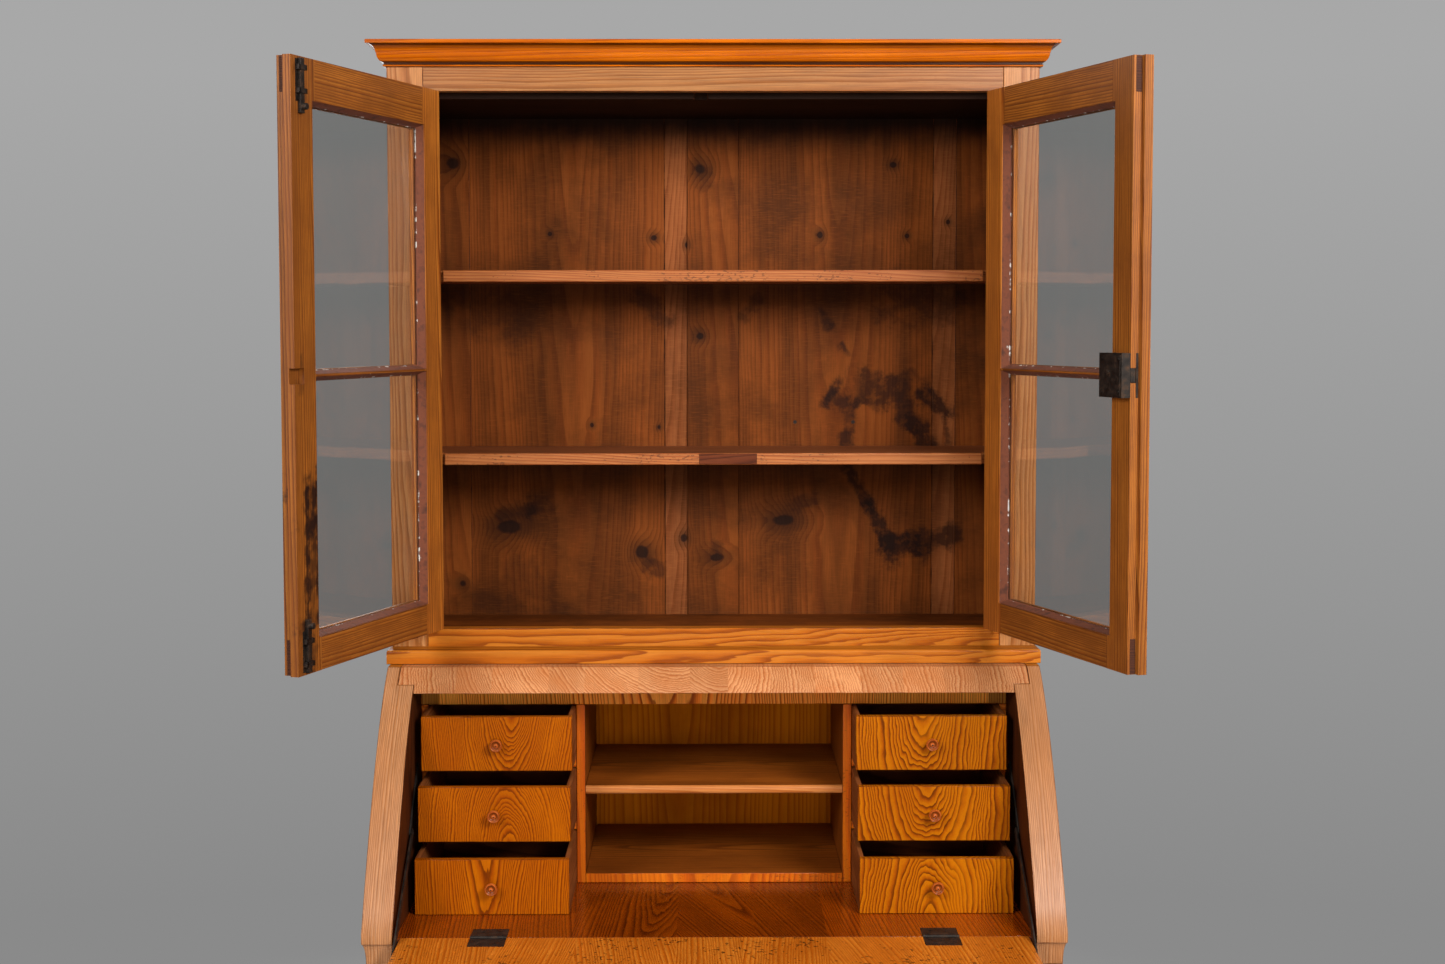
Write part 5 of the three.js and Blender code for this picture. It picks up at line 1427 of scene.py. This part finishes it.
def addDrawer(node, look, name, seed, finish):
    low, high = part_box(node)
    body = bodyOf(node)
    face = high.y - look["length"] * mm
    x0, x1, z0, z1 = low.x, high.x, low.z, high.z
    thick, side, bottom = look["front"] * mm, look["side"] * mm, look["bottom"] * mm
    behind = face + thick
    crown, slope = drawerCrowns[name]
    boardPiece(name + "Front", (x0, face, z0), (x1, behind, z1), finish, body, "z", "y", (node,), radius=0.9,
               heart=crown, slope=slope, seed=seed)
    start, margin = behind - look["tail"] * mm, dovetail["margin"] * mm
    pitch = (z1 - z0) / look["tails"]
    wide, narrow = pitch * dovetail["tip"], pitch * dovetail["root"]
    for label, sign, outer in (("Left", -1, x0), ("Right", 1, x1)):
        outline = [(high.y, z0 + margin), (behind, z0 + margin)]
        for i in range(look["tails"]):
            middle = z0 + (i + 0.5) * pitch
            outline += [(behind, middle - narrow), (start, middle - wide),
                        (start, middle + wide), (behind, middle + narrow)]
        outline += [(behind, z1 - margin), (high.y, z1 - margin)]
        proud = outer + sign * dovetail["proud"] * mm
        board = addPrism(newBoard(), outline, "x", (proud, proud - sign * side))
        easeEdges(board, dovetail["ease"] * mm)
        layGrain(board, "y", "x", heart=(20.0, 60.0), slope=0.01, seed=seed + 100 + sign)
        makePiece(name + label + "Side", board, "drawerSideElm", body)
    rear = high.y - drawerBack * mm
    boardPiece(name + "Back", (x0 + side, high.y - look["back"] * mm - drawerBack * mm, z0 + bottom),
               (x1 - side, rear, z1 - look["backDrop"] * mm), "drawerSideElm", body, "x", "y", radius=0.6,
               seed=seed + 104)
    boardPiece(name + "Bottom", (x0 + side * 0.6, face + thick * 0.5, z0 + drawerGroove * mm),
               (x1 - side * 0.6, high.y - drawerGroove * mm, z0 + (drawerGroove + look["bottom"]) * mm),
               "drawerSideElm", body, "x", "z", radius=0.0, seed=seed + 105)
    for index, share in enumerate(look["knobsAt"]):
        x = (x0 + x1) / 2 + share * (x1 - x0) / 2
        addKnob(name + "Knob" + (str(index + 1) if len(look["knobsAt"]) > 1 else ""), look,
                (x, face, (z0 + z1) / 2), body)


for row, rowName in enumerate(("top", "middle", "bottom")):
    for side, sign in (("left", -1), ("right", 1)):
        addDrawer("small_drawer_" + rowName + "_" + side, smallDrawer, rowName + side.capitalize() + "Drawer",
                  110 + 2 * row + (sign > 0), "goldElm" if sign > 0 else "drawerElm")
    addDrawer("long_drawer_" + rowName, longDrawer, rowName + "LongDrawer", 120 + row, "drawerElm")
print("drawers made")


# Chest below: which faces have their grain upright, and which run from front to back
chest = {"sideFace": 489.0, "plinthFace": 500.0, "plinthFront": 300.0}


def chestRule(face):
    return ("z", "x") if abs(face.calc_center_median().x) > chest["sideFace"] * mm else ("x", "y")


def baseRule(face):
    middle = face.calc_center_median()
    atSide = abs(middle.x) > chest["plinthFace"] * mm and middle.y > frontPlane - chest["plinthFront"] * mm
    return ("y", "x") if atSide else ("x", "y")


easedNode("chestCase", "chest_case", "waxedElm", "x", "y", seed=130, rule=chestRule)
easedNode("bracketBase", "bracket_base", "waxedElm", "x", "y", radius=1.5, seed=131, rule=baseRule)
print("chest made")


# Floor, light and surroundings. The wall is seen only by the camera and in gloss and glass; it grows paler
# upward, and what shows through a pane, which has two faces, is the part of it that the bookcase shades
studio = {
    "floorRadius": 2.6, "floorFade": (0.55, 0.98), "floorSides": 96, "floor": "#c9c8c5",
    "floorRoughness": 0.7, "wallLow": "#8a8a8a", "wallHigh": "#a8a8a8", "wallRise": (-0.27, 0.12),
    "shade": "#c6c6c6", "panesPassed": 1.5, "ambient": 0.07,
}
lamps = {  # place, size, power in watts
    "keyLight": ((1.6, -2.5, 2.75), 1.1, 112.0),
    "fillLight": ((-1.9, -2.6, 2.65), 1.1, 74.0),
    "frontLight": ((0.1, -3.9, 1.12), 1.2, 38.0),
    "overheadLight": ((0.2, -0.3, 3.9), 2.0, 12.0),
    "backLight": ((-0.6, 3.2, 2.8), 2.2, 70.0),
}
aim = Vector((0.0, 0.0, 1.2))


def lightStudio():
    for name, (place, size, power) in lamps.items():
        data = bpy.data.lights.new(name, "AREA")
        data.size = size
        data.energy = power
        lamp = newObject(name, data)
        lamp.location = place
        lamp.rotation_euler = (aim - Vector(place)).to_track_quat("-Z", "Y").to_euler()
        lamp.visible_glossy = name != "frontLight"  # soft filling light, not mirrored in the panes
    world = bpy.data.worlds.new("studio")
    bpy.context.scene.world = world
    world.use_nodes = True
    world.node_tree.nodes.clear()
    add = partial(addNode, world.node_tree)
    seen = add("LightPath").outputs
    direct = add("Math", (seen["Is Camera Ray"], seen["Is Glossy Ray"]), operation="MAXIMUM")
    direct = add("Math", (direct, seen["Is Transmission Ray"]), operation="MAXIMUM")
    shaded = add("Math", (seen["Transparent Depth"], studio["panesPassed"]), operation="GREATER_THAN")
    rise = add("SeparateXYZ", (add("TexCoord").outputs["Generated"],)).outputs["Z"]
    low, high, shade = (linearColour(studio[key]) for key in ("wallLow", "wallHigh", "shade"))
    wallColour = add("Mix", (add("MapRange", (rise, *studio["wallRise"])), low, high), data_type="RGBA")
    wallColour = add("Mix", (shaded, wallColour, shade), data_type="RGBA", blend_type="MULTIPLY")
    wall = add("Background", (wallColour, 1.0))
    air = add("Background", ((1.0, 1.0, 1.0, 1.0), studio["ambient"]))
    add("OutputWorld", (add("MixShader", (direct, air, wall)),))


def layFloor():
    # matt pale floor that fades out into the wall
    board = bmesh.new()
    bmesh.ops.create_circle(board, cap_ends=True, radius=studio["floorRadius"], segments=studio["floorSides"])
    mesh = bpy.data.meshes.new("studioFloor")
    board.to_mesh(mesh)
    board.free()
    material, add = newMaterial("paleFloor")
    reach = add("VectorMath", (add("TexCoord").outputs["Object"],), operation="LENGTH")
    fading = (studio["floorRadius"] * share for share in studio["floorFade"])
    kept = add("MapRange", (reach, *fading, 1.0, 0.0), **eased)
    solid = add("BsdfPrincipled", {
        "Base Color": linearColour(studio["floor"]), "Roughness": studio["floorRoughness"]})
    add("OutputMaterial", (add("MixShader", (kept, add("BsdfTransparent"), solid)),))
    mesh.materials.append(material)
    newObject("studioFloor", mesh)


lightStudio()
layFloor()
bpy.context.scene.view_settings.view_transform = "Standard"
print("studio lit")
